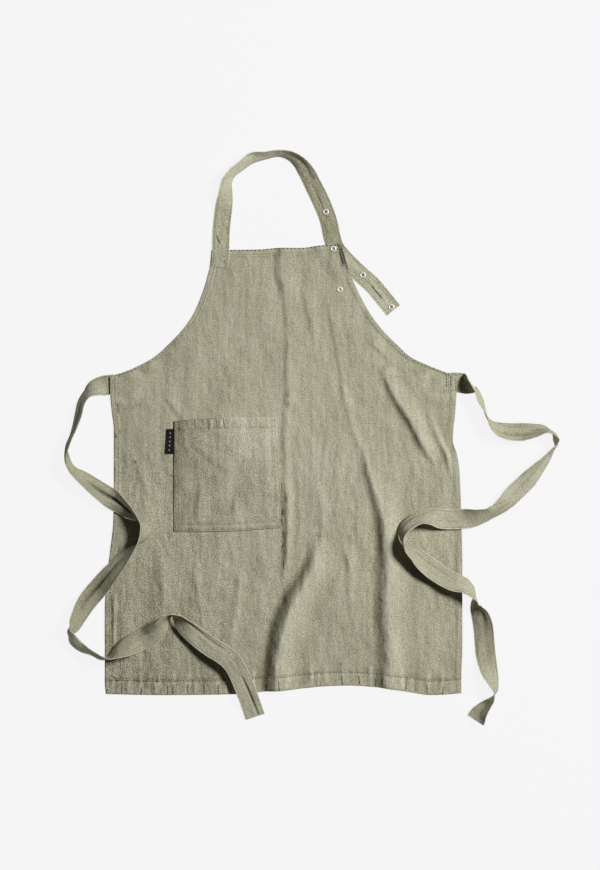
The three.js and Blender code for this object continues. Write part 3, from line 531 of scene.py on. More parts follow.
def body_under(x, y):
    """Underside of the cloth with its creases and the soft unevenness of washed linen."""
    rise = sum(f(x, y) for f in main_crests) + sum(f(x, y) for f in small_crests)
    ripple = 0.5 + 0.5 * noise(x, y, 27, 150, 3)
    swell = 0.5 + 0.5 * noise(x + 0.25 * y, y, 62, 90, 4)
    crumple = 0.5 + 0.5 * noise(x + 0.5 * y, y, 24, 30, 9)
    rise = rise + WRINKLE * (0.8 * ripple + 1.0 * swell + 0.5 * crumple)
    above = y - HEM_Y - hem_rise(x)
    pucker = np.clip(noise(x, y, 9.0, 4000, 11), 0, 1) ** 1.2
    nick = np.clip(noise(x, y, 7.0, 4000, 12) - 0.35, 0, 1)
    above_line = np.exp(-((above - BOTTOM_HEM) / 15.0) ** 2)
    below_line = np.where(above < BOTTOM_HEM, 0.8, 0.0) * ease(above / 6.0)
    return rise + HEM_PUCKER * (pucker * above_line + (0.6 * pucker + nick) * below_line)


def mesh_object(name, points, faces, material, uv=None, sharp=38.0, painted_shading_and_tone=None, rough=1.0):
    """A mesh in metres from points in millimetres, smooth but for its sharp edges."""
    mesh = bpy.data.meshes.new(name)
    mesh.from_pydata((np.asarray(points, float) * MM).tolist(), [], [list(map(int, face)) for face in faces])
    if uv is not None:
        corners = np.empty(len(mesh.loops), dtype=np.int32)
        mesh.loops.foreach_get("vertex_index", corners)
        layer = mesh.uv_layers.new(name="UVMap")
        layer.data.foreach_set("uv", (np.asarray(uv, float) * MM)[corners].ravel())
    # Painted light and shade, with some random tone, kept as a point attribute; rough is the strength of the
    # weave
    if painted_shading_and_tone is not None:
        mesh.attributes.new("painted_shading_and_tone", "FLOAT", "POINT").data.foreach_set("value", np.asarray(painted_shading_and_tone, float))
        grain = np.broadcast_to(rough, len(painted_shading_and_tone)).astype(float)
        mesh.attributes.new("rough", "FLOAT", "POINT").data.foreach_set("value", grain)
    mesh.shade_smooth()
    mesh.set_sharp_from_angle(angle=math.radians(sharp))
    mesh.materials.append(material)
    mesh.update()
    piece = bpy.data.objects.new(name, mesh)
    bpy.context.scene.collection.objects.link(piece)
    return piece


def grid_faces(high, wide, first=0, flip=False):
    j, i = np.mgrid[0:high - 1, 0:wide - 1]
    a = (first + j * wide + i).ravel()
    quads = np.stack([a, a + 1, a + wide + 1, a + wide], axis=1)
    return quads[:, ::-1] if flip else quads


def odd(stops):
    """The same stops with one more in the widest gap if their number is even."""
    if len(stops) % 2:
        return stops
    k = int(np.argmax(np.diff(stops)))
    return np.insert(stops, k + 1, 0.5 * (stops[k] + stops[k + 1]))


def painted_relief_shading(top):
    """Painted light and shade: paler ridges and darker hollows from the height of each place above its
    surroundings.
    """
    around = top.copy()
    for axis in (0, 1):
        for shift in (1, -1, 2, -2, 3, -3):
            around = around + np.roll(top, shift, axis)
    hollow = top - around / 13.0
    hollow[:4] = hollow[-4:] = 0
    hollow[:, :10] = hollow[:, -10:] = 0
    return np.clip(hollow / 0.5, -1, 1)


def sheet_object(name, x, y, under, top, material, painted_marks=0.0, rough=1.0):
    """A closed sheet of cloth from grids of its underside and top, the underside on every second line."""
    high, wide = x.shape
    count = high * wide
    skin = np.stack([x, y, top], -1)
    back = np.stack([x, y, under], -1)[::2, ::2]
    points = np.concatenate([skin.reshape(-1, 3), back.reshape(-1, 3)])
    back_high, back_wide = back.shape[:2]
    faces = grid_faces(high, wide).tolist() + grid_faces(back_high, back_wide, count, True).tolist()
    fine = np.arange(count).reshape(high, wide)
    coarse = count + np.arange(back_high * back_wide).reshape(back_high, back_wide)
    sides = [
        (fine[0], coarse[0]),
        (fine[:, -1], coarse[:, -1]),
        (fine[-1, ::-1], coarse[-1, ::-1]),
        (fine[::-1, 0], coarse[::-1, 0]),
    ]
    for rim, foot in sides:
        for k in range(len(foot) - 1):
            faces.append([rim[2 * k], foot[k], foot[k + 1], rim[2 * k + 2], rim[2 * k + 1]])
    painted_shading_and_tone = np.concatenate([(painted_relief_shading(top) + painted_marks).ravel(), np.zeros(back_high * back_wide)])
    grain = np.concatenate([np.broadcast_to(rough, x.shape).ravel(), np.ones(back_high * back_wide)])
    return mesh_object(name, points, faces, material, points[:, :2], painted_shading_and_tone=painted_shading_and_tone, rough=grain)


def near_edges(length, step, fine):
    """Stops from 0 to length: given fine offsets at both ends and an even step between."""
    fine = np.asarray(fine, float)
    inner = np.linspace(fine[-1], length - fine[-1], int(round((length - 2 * fine[-1]) / step)) + 1)
    return np.concatenate([fine[:-1], inner, (length - fine[:-1])[::-1]])


def rim_round(offset):
    t = np.clip(offset / EDGE_ROUND, 0, 1)
    return 0.3 + 0.7 * np.sqrt(np.clip(1 - (1 - t) ** 2, 0, 1))


def groove(offset, line):
    return GROOVE_DEPTH * np.clip(1 - np.abs(offset - line) / GROOVE_HALF, 0, 1)


def stitches(name, slot, runs, material, size=(STITCH_LENGTH, STITCH_WIDTH, STITCH_HEIGHT)):
    """Short raised threads along runs of places, each run with its points and face normals."""
    points = []
    faces = []
    for place, normal in runs:
        place = np.asarray(place, float)
        if len(place) < 3:
            continue
        along = np.gradient(place, axis=0)
        along /= np.linalg.norm(along, axis=1, keepdims=True) + 1e-9
        aside = np.cross(normal, along)
        for p, t, s, n in zip(place, along, aside, normal):
            first = len(points)
            half = 0.5 * size[0] * t
            wide = 0.5 * size[1] * s
            tall = 0.5 * size[2] * n
            points.extend([p + half, p - half, p + wide, p - wide, p + tall, p - tall])
            for e in (0, 1):
                for a, b in ((2, 4), (4, 3), (3, 5), (5, 2)):
                    trio = (first + e, first + a, first + b)
                    faces.append(trio if e == 0 else trio[::-1])
    piece = mesh_object(name, points, faces, material, sharp=80.0)
    place_piece(piece, slot)
    return piece


def spaced(x, y, pitch=STITCH_PITCH):
    """Even places along a polyline."""
    knots = travelled(np.asarray(x, float), np.asarray(y, float))
    at = np.arange(pitch * 0.5, knots[-1], pitch)
    return np.interp(at, knots, x), np.interp(at, knots, y)


UP = np.array([0.0, 0.0, 1.0])


def body_run(x, y, top, pitch=STITCH_PITCH):
    """A run of stitches lying on the body at a height above its underside."""
    x, y = spaced(x, y, pitch)
    z = body_under(x, y) + top
    return np.stack([x, y, z], 1), np.tile(UP, (len(x), 1))


# Weave, as cells to the metre across and along the warp, and detail
FLECKS = (520.0, 100.0, 2.0)
STREAKS = (210.0, 14.0, 2.0)
WEFT = (30.0, 420.0, 2.0)
GRAIN = (680.0, 560.0, 1.0)
MOTTLE = (15.0, 9.0, 3.0)
DARK_SPECKS = (500.0, 340.0, 0.0)
PALE_SPECKS = (430.0, 400.0, 0.0)
CRUMPLE = (95.0, 34.0, 4.0)
RUMPLE = (44.0, 36.0, 3.0)
RIPPLE = (26.0, 7.0, 2.0)


# Materials
def set_inputs(node, **values):
    for name, value in values.items():
        node.inputs[name.replace("_", " ")].default_value = value


def node_material(name):
    material = bpy.data.materials.new(name)
    material.use_nodes = True
    tree = material.node_tree
    return material, tree.nodes, tree.links, tree.nodes["Principled BSDF"]


def linen(name, along_v=True, shade=1.0, crumple=1.0):
    """Slubby plain-weave linen: flecks and streaks along the warp, fainter ones across, and crumples."""
    material, nodes, links, shader = node_material(name)
    set_inputs(shader, Roughness=0.9, Specular_IOR_Level=0.12)
    place = nodes.new("ShaderNodeUVMap")
    place.uv_map = "UVMap"

    def cloud(su, sv, detail):
        spread = nodes.new("ShaderNodeMapping")
        set_inputs(spread, Scale=(su, sv, 1.0) if along_v else (sv, su, 1.0))
        links.new(place.outputs["UV"], spread.inputs["Vector"])
        made = nodes.new("ShaderNodeTexNoise")
        set_inputs(made, Scale=1.0, Detail=detail)
        links.new(spread.outputs["Vector"], made.inputs["Vector"])
        return made.outputs["Fac"]

    def ranged(value, low, high, first, last):
        made = nodes.new("ShaderNodeMapRange")
        set_inputs(made, From_Min=low, From_Max=high, To_Min=first, To_Max=last)
        links.new(value, made.inputs["Value"])
        return made.outputs["Result"]

    def summed(values):
        total = values[0]
        for value in values[1:]:
            made = nodes.new("ShaderNodeMath")
            made.operation = "ADD"
            links.new(total, made.inputs[0])
            links.new(value, made.inputs[1])
            total = made.outputs["Value"]
        return total

    # Painted light and shade, with some random tone, read from the mesh and added to the weave before the
    # colour ramp
    painted_shading_and_tone = nodes.new("ShaderNodeAttribute")
    painted_shading_and_tone.attribute_name = "painted_shading_and_tone"
    rough = nodes.new("ShaderNodeAttribute")
    rough.attribute_name = "rough"
    weave = [
        ranged(cloud(*FLECKS), 0.2, 0.8, -0.11, 0.11),
        ranged(cloud(*STREAKS), 0.25, 0.75, -0.055, 0.055),
        ranged(cloud(*WEFT), 0.25, 0.75, -0.04, 0.04),
        ranged(cloud(*GRAIN), 0.2, 0.8, -0.46, 0.46),
        ranged(cloud(*DARK_SPECKS), 0.68, 0.76, 0.0, -0.42),
        ranged(cloud(*PALE_SPECKS), 0.71, 0.78, 0.0, 0.36),
    ]
    grain = nodes.new("ShaderNodeMath")
    grain.operation = "MULTIPLY"
    links.new(summed(weave), grain.inputs[0])
    links.new(rough.outputs["Fac"], grain.inputs[1])
    mottle = ranged(cloud(*MOTTLE), 0.25, 0.75, -0.08, 0.08)
    total = summed([grain.outputs["Value"], mottle, ranged(painted_shading_and_tone.outputs["Fac"], -3.0, 3.0, -0.1, 1.1)])
    ramp = nodes.new("ShaderNodeValToRGB")
    stops = ramp.color_ramp.elements
    stops.new(0.5)
    for stop, colour in zip(stops, (LINEN_DARK, LINEN_MID, LINEN_LIGHT)):
        stop.color = [c * shade for c in colour] + [1.0]
    links.new(total, ramp.inputs["Fac"])
    links.new(ramp.outputs["Color"], shader.inputs["Base Color"])
    fine = nodes.new("ShaderNodeBump")
    set_inputs(fine, Strength=0.6, Distance=0.0006)
    links.new(total, fine.inputs["Height"])
    creased = nodes.new("ShaderNodeBump")
    set_inputs(creased, Distance=0.0060 * crumple)
    links.new(ranged(rough.outputs["Fac"], 0.85, 1.75, 0.58, 0.95), creased.inputs["Strength"])
    folds = [
        ranged(cloud(*CRUMPLE), 0.0, 1.0, 0.0, 0.5),
        cloud(*RUMPLE),
        ranged(cloud(*RIPPLE), 0.0, 1.0, 0.0, 1.9),
    ]
    links.new(summed(folds), creased.inputs["Height"])
    links.new(creased.outputs["Normal"], fine.inputs["Normal"])
    links.new(fine.outputs["Normal"], shader.inputs["Normal"])
    return material


def plain(name, colour, roughness, metallic=0.0):
    material, *_, shader = node_material(name)
    set_inputs(shader, Base_Color=(*colour, 1.0), Roughness=roughness, Metallic=metallic)
    set_inputs(shader, Specular_IOR_Level=0.25)
    return material


linen_body = linen("linen_body")
linen_pocket = linen("linen_pocket", shade=1.0, crumple=0.9)
linen_band = linen("linen_band", along_v=False, shade=0.97, crumple=1.0)
linen_strap = linen("linen_strap", along_v=False, shade=1.06, crumple=1.0)
thread_look = plain("linen_thread", THREAD, 0.8)
edge_look = plain("edge_thread", EDGE_THREAD, 0.8)
hem_look = plain("hem_thread", HEM_THREAD, 0.8)
tab_look = plain("tab_weave", TAB_BLACK, 0.75)
motif_look = plain("tab_thread", TAB_PALE, 0.8)
metal_look = plain("snap_metal", SNAP_METAL, 0.38, 0.35)
dark_look = plain("snap_dark", SNAP_DARK, 0.5)


def place_piece(piece, slot, *nodes):
    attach(piece, "root")
    if nodes:
        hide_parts(*nodes)


# The body
EDGE_STOPS = (0, 0.35, 1.0, 2.6, 5.0, 7.4, 9.0, 10.2, 11.4, 12.6, 15.0)
HEM_STOPS = (0, 0.35, 1.0, 3.0, 6.5, 10.5, 15.0, 19.5, 24.0, 27.0, 28.6, 30.0, 31.4, 33.5)
BIB_STOPS = (0, 0.35, 1.0, 3.0, 5.6, 8.0, 9.4, 10.6, 12.0, 13.4)


def body_levels():
    low = HEM_Y + np.array(HEM_STOPS)
    high = BIB_Y - np.array(BIB_STOPS)[::-1]
    foot = WAIST_Y - WAIST_BELOW
    lower = np.linspace(low[-1], foot, int((foot - low[-1]) / BODY_STEP) + 1)[1:]
    corner = np.arange(foot + CORNER_STEP, WAIST_Y + WAIST_ABOVE, CORNER_STEP)
    upper = np.linspace(corner[-1], high[0], int((high[0] - corner[-1]) / BODY_STEP) + 1)[1:-1]
    return odd(np.concatenate([low, lower, corner, upper, high]))


def make_body():
    levels = body_levels()
    columns = 2 * int(round(BODY_WIDTH / BODY_STEP / 2)) + 1
    fine = np.array(EDGE_STOPS)
    rows = []
    for level in levels:
        left, right = float(body_left(level)), float(body_right(level))
        inner = np.linspace(left + fine[-1], right - fine[-1], columns)
        rows.append(np.concatenate([left + fine[:-1], inner, (right - fine[:-1])[::-1]]))
    x = np.array(rows)
    level = np.repeat(levels[:, None], x.shape[1], axis=1)
    y = waved(x, level)
    to_side = np.minimum(x - x[:, :1], x[:, -1:] - x)
    to_hem = level - HEM_Y
    to_bib = BIB_Y - level
    hem = np.maximum.reduce([
        ease((SIDE_HEM - to_side) / 1.4 + 0.5),
        ease((BOTTOM_HEM - to_hem) / 1.6 + 0.5),
        ease((BIB_HEM - to_bib) / 1.4 + 0.5),
    ])
    thick = CLOTH + HEM_EXTRA * hem
    thick = thick - groove(to_side, SIDE_SEAM) - groove(to_hem, BOTTOM_SEAM) - groove(to_bib, BIB_SEAM)
    rim = np.minimum(np.minimum(to_side, to_hem), to_bib)
    under = body_under(x, y)
    # Painted shade along every rim but the strap's corner, along the hem's stitch line, in a strip right of
    # the pocket and along the ragged left edge; painted shade on flanks that face away from the key and low
    # on the left; painted light in the middle
    strap_corner = ease((y - 318) / 20) * ease((-180 - x) / 10)
    painted_marks = RIM_PAINTED_SHADE * ease((1.4 - rim) / 1.0) * (1 - strap_corner)
    painted_marks = painted_marks + HEM_LINE_PAINTED_SHADE * np.exp(-((to_hem - BOTTOM_HEM) / 2.0) ** 2)
    crinkle_shade = np.exp(-((x - CRINKLE_X + 4 * noise(y, 0 * y, 23, 1, 41)) / CRINKLE_HALF) ** 2)
    crinkle_shade = crinkle_shade * ease((y + 280) / 40) * ease((-90 - y) / 40)
    painted_marks = painted_marks - (CRINKLE_PAINTED_SHADE + CRINKLE_SPREAD * noise(x, y, 6, 15, 42)) * crinkle_shade
    from_left = x - x[:, :1]
    ragged_edge_shade = LEFT_EDGE_PAINTED_SHADE + LEFT_EDGE_SPREAD * noise(y, 0 * y, 11, 1, 31)
    painted_marks = painted_marks - ragged_edge_shade * ease((3.2 - from_left) / 2.0) * ease((82 - y) / 14)
    slope = np.gradient(under, axis=1) / np.gradient(x, axis=1)
    painted_marks = painted_marks - FLANK_SHADE * np.clip(slope - 0.12, 0, 0.5) * ease((100 - x) / 110)
    painted_marks = painted_marks + LOW_LEFT_PAINTED_SHADE * ease((-120 - x) / 180) * ease((-160 - y) / 200)
    painted_marks = painted_marks + MIDDLE_PAINTED_LIGHT * np.exp(-((x + 30) / 150) ** 2 - ((y + 60) / 260) ** 2)
    rough = GRAIN_BASE + GRAIN_SKIRT * ease((40 - y) / 160)
    rough = rough + GRAIN_LEFT * ease((-110 - x) / 120) * ease((20 - y) / 120)
    rough = rough + GRAIN_CORNER * ease((-260 - x) / 80) * ease((-280 - y) / 100)
    top = under + thick * rim_round(rim)
    piece = sheet_object("apron_body_cloth", x, y, under, top, linen_body, painted_marks, rough)
    place_piece(piece, "linen_body", "apron_body")
    return piece


def make_body_stitches():
    top = CLOTH + HEM_EXTRA - THREAD_SINK
    runs = []
    side = np.linspace(HEM_Y + 4, BIB_Y - 4, 300)
    for edge, sign in ((body_left, 1), (body_right, -1)):
        x = edge(side) + sign * SIDE_SEAM
        runs.append(body_run(x, waved(x, side), top))
    across = np.linspace(float(body_left(HEM_Y + 30)) + 6, float(body_right(HEM_Y + 30)) - 6, 240)
    line = HEM_Y + BOTTOM_SEAM + hem_rise(across) * (1 - ease(BOTTOM_HEM / HEM_FADE))
    hem_left = body_run(across[:64], line[:64], top, HEM_PITCH)
    hem_right = body_run(across[64:], line[64:], top, HEM_PITCH)
    across = np.linspace(float(body_left(BIB_Y)) + 3, float(body_right(BIB_Y)) - 3, 120)
    runs.append(body_run(across, BIB_Y - BIB_SEAM + bib_rise(across), top))
    for first_x, first_y, last_x, last_y in FINE_BARS:
        runs.append(body_run((first_x, last_x), (first_y, last_y), top))
    piece = stitches("body_stitches", "linen_body", runs, thread_look)
    top_edge = body_run(across[8:], BIB_Y - 1.5 + bib_rise(across[8:]), top - 0.1, EDGE_PITCH)
    edge_piece = stitches("bib_edge_stitches", "linen_body", [top_edge], edge_look, EDGE_STITCH)
    bars = [body_run(np.full(2, x), np.array([head, foot]), top, HEM_PITCH) for x, head, foot in JOINT_BARS]
    for edge, sign, head in zip((body_left, body_right), (1, -1), ARMHOLE_HEADS):
        up_edge = np.linspace(ARMHOLE_FOOT, head, 60)
        bars.append(body_run(edge(up_edge) + sign * ARMHOLE_INSET, up_edge, top - 0.1, EDGE_PITCH))
    left_piece = stitches("hem_stitches_left", "linen_body", [hem_left, *bars], edge_look, HEM_STITCH)
    right_piece = stitches("hem_stitches_right", "linen_body", [hem_right], hem_look, HEM_STITCH)
    return piece, edge_piece, left_piece, right_piece


def make_tuck_shadows():
    """Dark thread-like strips of painted shade standing for short tucks drawn up by the hem stitching and for
    small folds at the edges.
    """
    chance = np.random.RandomState(77)
    runs = []
    for x in HEM_TUCKS:
        foot = HEM_Y + float(hem_rise(x)) + chance.uniform(2, 7)
        head = foot + chance.uniform(9, 17)
        y = np.linspace(foot, head, 4)
        line = x + chance.uniform(-1.5, 1.5) * (y - foot) / (head - foot)
        z = body_under(line, y) + CLOTH + HEM_EXTRA - THREAD_SINK
        runs.append((np.stack([line, y, z], 1), np.tile(UP, (4, 1))))
    for first_x, first_y, last_x, last_y in EDGE_TUCKS:
        line = np.linspace(first_x, last_x, 8)
        y = np.linspace(first_y, last_y, 8)
        beside = np.minimum(line - body_left(y), body_right(y) - line) < SIDE_HEM
        hemmed = beside | (y < HEM_Y + BOTTOM_HEM)
        z = body_under(line, y) + CLOTH + HEM_EXTRA * hemmed - THREAD_SINK
        runs.append((np.stack([line, y, z], 1), np.tile(UP, (8, 1))))
    return stitches("tuck_shadow_strips", "linen_body", runs, edge_look, TUCK_SIZE)


# The pocket
pocket_table = np.array(POCKET_SIDES, float)
pocket_left = column(pocket_table[:, 0], pocket_table[:, 1])
pocket_right = column(pocket_table[:, 0], pocket_table[:, 2])
mouth_rise = column(*np.array(POCKET_MOUTH, float).T)
foot_rise = column(*np.array(POCKET_FOOT, float).T)
FOOT_Y = pocket_table[0, 0]
MOUTH_Y = pocket_table[-1, 0]
tab_room = crest([
    (TAB_X - 10, TAB_Y, TAB_THICK + GAP, 22, 22, 34),
    (TAB_X + 4, TAB_Y, TAB_THICK + GAP, 22, 22, 34),
])
pocket_crests = [crest(rows) for rows in POCKET_FOLDS.values()]


SEAM_STOPS = (0, 0.35, 1.0, 2.2, 3.5, 4.8, 6.5, 8.2, 9.5, 10.8)
FOOT_STOPS = (0, 0.35, 1.0, 2.2, 3.5, 4.8, 7.0)
MOUTH_STOPS = (0, 0.35, 1.0, 3.0, 6.5, 11.0, 15.0, 17.6, 19.0, 20.0, 21.0, 22.0)


def pocket_place(u, level):
    v = (level - FOOT_Y) / (MOUTH_Y - FOOT_Y)
    left, right = pocket_left(level), pocket_right(level)
    x = left + (right - left) * u
    y = level + mouth_rise(x) * v + foot_rise(x) * (1 - v)
    puff = POCKET_PUFF * np.sin(np.pi * np.clip(u, 0, 1)) ** 0.8 * v ** 1.6
    crumple = 0.5 + 0.5 * noise(x + 0.3 * y, y, 24, 30, 21)
    swell = 0.5 + 0.5 * noise(x - 0.4 * y, y, 52, 44, 22)
    gather = np.clip(noise(x, y, 9.5, 3000, 23), 0, 1)
    gather = gather * np.exp(-((level - MOUTH_Y + 0.6 * POCKET_HEM) / 11.0) ** 2)
    gather = gather * (0.5 + 1.3 * ease((0.6 - u) / 0.3))
    creases = sum(f(x, y) for f in pocket_crests)
    seam = ease(np.minimum(u, 1 - u) * 8)
    under = body_under(x, y) + CLOTH + GAP + puff + tab_room(x, y)
    return x, y, under + (0.8 * crumple + 3.0 * swell + 2.0 * gather + creases) * seam * ease(v * 8)


def make_pocket():
    across = odd(near_edges(POCKET_WIDTH, POCKET_STEP, SEAM_STOPS)) / POCKET_WIDTH
    foot_stops = FOOT_Y + np.array(FOOT_STOPS)
    mouth_stops = MOUTH_Y - np.array(MOUTH_STOPS)[::-1]
    count = int((mouth_stops[0] - foot_stops[-1]) / POCKET_STEP)
    middle = np.linspace(foot_stops[-1], mouth_stops[0], count)[1:-1]
    levels = odd(np.concatenate([foot_stops, middle, mouth_stops]))
    u, level = np.meshgrid(across, levels)
    x, y, under = pocket_place(u, level)
    side = np.minimum(u, 1 - u) * POCKET_WIDTH
    hem = np.maximum.reduce([
        ease((POCKET_HEM - (MOUTH_Y - level)) / 1.8 + 0.5),
        ease((POCKET_TURN - side) / 1.8 + 0.5),
        ease((POCKET_TURN - (level - FOOT_Y)) / 1.8 + 0.5),
    ])
    thick = CLOTH + HEM_EXTRA * hem
    for line in POCKET_TOPSTITCH:
        thick = thick - groove(side, line)
    thick = thick - groove(level - FOOT_Y, POCKET_TOPSTITCH[0]) - groove(MOUTH_Y - level, POCKET_HEM - 2.0)
    rim = np.minimum(np.minimum(side, level - FOOT_Y), MOUTH_Y - level)
    # Painted shadow along the pocket's left and bottom outline, fainter at its right top; at the mouth a
    # painted highlight on the right and painted shade on the left; random mottle; painted light toward the
    # right top and painted shade toward the left
    outline = np.minimum(side, level - FOOT_Y)
    v = (level - FOOT_Y) / (MOUTH_Y - FOOT_Y)
    right_top = ease((u - 0.7) / 0.1) * ease(v * 2 - 0.6)
    painted_marks = -1.6 * ease((1.1 - outline) / 0.8) * (1 - 0.8 * right_top)
    mouth = ease((2.6 - (MOUTH_Y - level)) / 1.4)
    painted_marks = painted_marks * (1 - mouth) + mouth * (1.6 * ease((u - 0.35) / 0.2) - 0.6)
    painted_marks = painted_marks + POCKET_MOTTLE * noise(x, y, 34, 30, 24)
    painted_marks = painted_marks + 0.25 * POCKET_MOTTLE * noise(x + 0.3 * y, y, 13, 16, 25)
    painted_marks = painted_marks + 0.6 * ease((u - 0.4) / 0.4) * ease((v - 0.2) / 0.5) - 0.4 * ease((0.5 - u) / 0.35)
    top = under + thick * rim_round(rim)
    piece = sheet_object("pocket_cloth", x, y, under, top, linen_pocket, painted_marks, POCKET_GRAIN)
    place_piece(piece, "linen_pocket", "pocket")
    return piece


def pocket_run(u, level, extra):
    """A run of stitches on the pocket between two places given across and up it."""
    u = np.linspace(u[0], u[1], 80)
    level = np.linspace(level[0], level[1], 80)
    x, y, under = pocket_place(u, level)
    knots = travelled(x, y)
    at = np.arange(STITCH_PITCH * 0.5, knots[-1], STITCH_PITCH)
    points = np.stack([np.interp(at, knots, line) for line in (x, y, under + extra)], 1)
    return points, np.tile(UP, (len(at), 1))


def make_pocket_stitches():
    top = CLOTH + HEM_EXTRA - THREAD_SINK
    runs = []
    for line in POCKET_TOPSTITCH:
        u = line / POCKET_WIDTH
        runs.append(pocket_run((u, u), (FOOT_Y + 3, MOUTH_Y - 1), top))
        runs.append(pocket_run((1 - u, 1 - u), (FOOT_Y + 3, MOUTH_Y - 1), top))
    foot = FOOT_Y + POCKET_TOPSTITCH[0]
    runs.append(pocket_run((0.02, 0.98), (foot, foot), top))
    hem = MOUTH_Y - POCKET_HEM + 2.0
    runs.append(pocket_run((0.02, 0.98), (hem, hem), top))
    piece = stitches("pocket_stitches", "linen_pocket", runs, thread_look)
    rise = CLOTH + HEM_EXTRA - 0.25
    # Near-black stitches at the very edge, which also stand in for the shade along the pocket's left, bottom
    # and lower right edges
    edges = [
        pocket_run((0.006, 0.006), (FOOT_Y + 2, MOUTH_Y - 2), rise),
        pocket_run((0.01, 0.99), (FOOT_Y + 1.3, FOOT_Y + 1.3), rise),
        pocket_run((0.994, 0.994), (FOOT_Y + 2, FOOT_Y + 70), rise),
    ]
    edge_piece = stitches("pocket_edge_stitches", "linen_pocket", edges, edge_look, POCKET_STITCH)
    # Strips of painted shade in the gathers under the mouth
    gathers = []
    for u, depth in POCKET_TUCKS:
        gathers.append(pocket_run((u, u + 0.008), (MOUTH_Y - 1, MOUTH_Y - depth), rise + 0.2))
    gather_piece = stitches("pocket_gather_shadows", "linen_pocket", gathers, hem_look, TUCK_SIZE)
    return piece, edge_piece, gather_piece


# The tab in the pocket's seam
def tab_place(offset, v):
    x = TAB_X + offset + TAB_SLANT * v * (offset < 0)
    y = TAB_Y + v * TAB_LENGTH
    return x, y, body_under(x, y) + CLOTH + GAP


def make_tab():
    offset, v = np.meshgrid(np.linspace(-TAB_SHOWN, TAB_TUCKED, 17), np.linspace(-0.5, 0.5, 27))
    x, y, under = tab_place(offset, v)
    rise = 0.35 * np.sin(np.pi * (offset + TAB_SHOWN) / (TAB_SHOWN + TAB_TUCKED))
    under = under + rise * 0.5
    piece = sheet_object("pocket_tab", x, y, under, under + TAB_THICK, tab_look)
    place_piece(piece, "label_black", "pocket_label")
    return piece


def make_tab_motif():
    """A plain row of woven diamonds down the tab."""
    points = []
    faces = []
    for v in MOTIF_PLACES:
        x, y, under = tab_place(np.array(-TAB_SHOWN * 0.5), np.array(v))
        z = float(under) + TAB_THICK + 0.3
        first = len(points)
        for dx, dy in ((MOTIF_WIDE, 0), (0, MOTIF_TALL), (-MOTIF_WIDE, 0), (0, -MOTIF_TALL)):
            points.append((float(x) + dx, float(y) + dy, z - 0.28))
        points.append((float(x), float(y), z))
        points.append((float(x), float(y), z - 0.5))
        for a in range(4):
            b = (a + 1) % 4
            faces.append((first + a, first + b, first + 4))
            faces.append((first + b, first + a, first + 5))
    piece = mesh_object("pocket_tab_motif", points, faces, motif_look)
    place_piece(piece, "label_black")
    return piece


# Bands of doubled linen
def evened(values, reach):
    """Heights evened out over their neighbours without falling below any of them."""
    near = lambda line, k: line[max(k - reach, 0):k + reach + 1]
    high = np.array([near(values, k).max() for k in range(len(values))])
    return np.array([near(high, k).mean() for k in range(len(values))])


def band_height(at, x, y, run, roll, on, width):
    """Height of the middle of each coarse section: the ground under it and the half width that stands up."""
    reach = np.zeros(len(x))
    edge = np.abs(np.sin(roll)) * width * 0.5 + np.abs(np.cos(roll)) * BAND_THICK * 0.5
    for u in np.arange(-1, 1.01, 0.25):
        px = x - run[:, 1] * np.cos(roll) * u * width * 0.5
        py = y + run[:, 0] * np.cos(roll) * u * width * 0.5
        cloth = body_under(px, py) + CLOTH + HEM_EXTRA + BAND_CLEAR
        ground = np.where((on > 0.5) & on_body(px, py), cloth, 0)
        reach = np.maximum(reach, ground - u * width * 0.5 * np.sin(roll))
    base = evened(reach + np.abs(np.cos(roll)) * BAND_THICK * 0.5 - edge, 2)
    return base + edge + (evened(edge, 1) - edge) * ease((at - SEWN_RUN) / SEWN_RUN)


# Places across a band, from one edge to the middle, then to the other edge
HALF_ACROSS = [1, 0.985, 0.95, 0.90, 0.865, 0.83, 0.795, 0.72, 0.64, 0.56, 0.48, 0.40, 0.32, 0.24, 0.16, 0.08]
ACROSS = np.concatenate([HALF_ACROSS, [0], -np.array(HALF_ACROSS)[::-1]])


def band_sections(rows, width):
    """Centres and frames of a band's fine sections."""
    table = filled(rows)
    knots = travelled(table[:, 0], table[:, 1])
    read = [column(knots, table[:, c], c > 1) for c in range(6)]

    def sample(step):
        at = np.linspace(0, knots[-1], int(round(knots[-1] / step)) + 1)
        ahead = np.minimum(at + 1, knots[-1])
        behind = np.maximum(at - 1, 0)
        run = np.stack([read[0](ahead) - read[0](behind), read[1](ahead) - read[1](behind)], 1)
        run /= np.linalg.norm(run, axis=1, keepdims=True)
        x, y, roll, lift, on, lean = [part(at) for part in read]
        return at, x, y, run, np.radians(roll), lift, on, lean

    at, x, y, run, roll, lift, on, lean = sample(REST_STEP)
    height = column(at, band_height(at, x, y, run, roll, on, width), False)
    at, x, y, run, roll, lift, on, lean = sample(BAND_STEP)
    centre = np.stack([x, y, height(at) + lift], 1)
    forward = np.gradient(centre, axis=0)
    forward /= np.linalg.norm(forward, axis=1, keepdims=True)
    aside = np.stack([-forward[:, 1], forward[:, 0], np.zeros(len(x))], 1)
    aside /= np.linalg.norm(aside, axis=1, keepdims=True)
    up = np.cross(forward, aside)
    across = aside * np.cos(roll)[:, None] + up * np.sin(roll)[:, None]
    return at, centre, across + forward * lean[:, None], np.cross(forward, across)


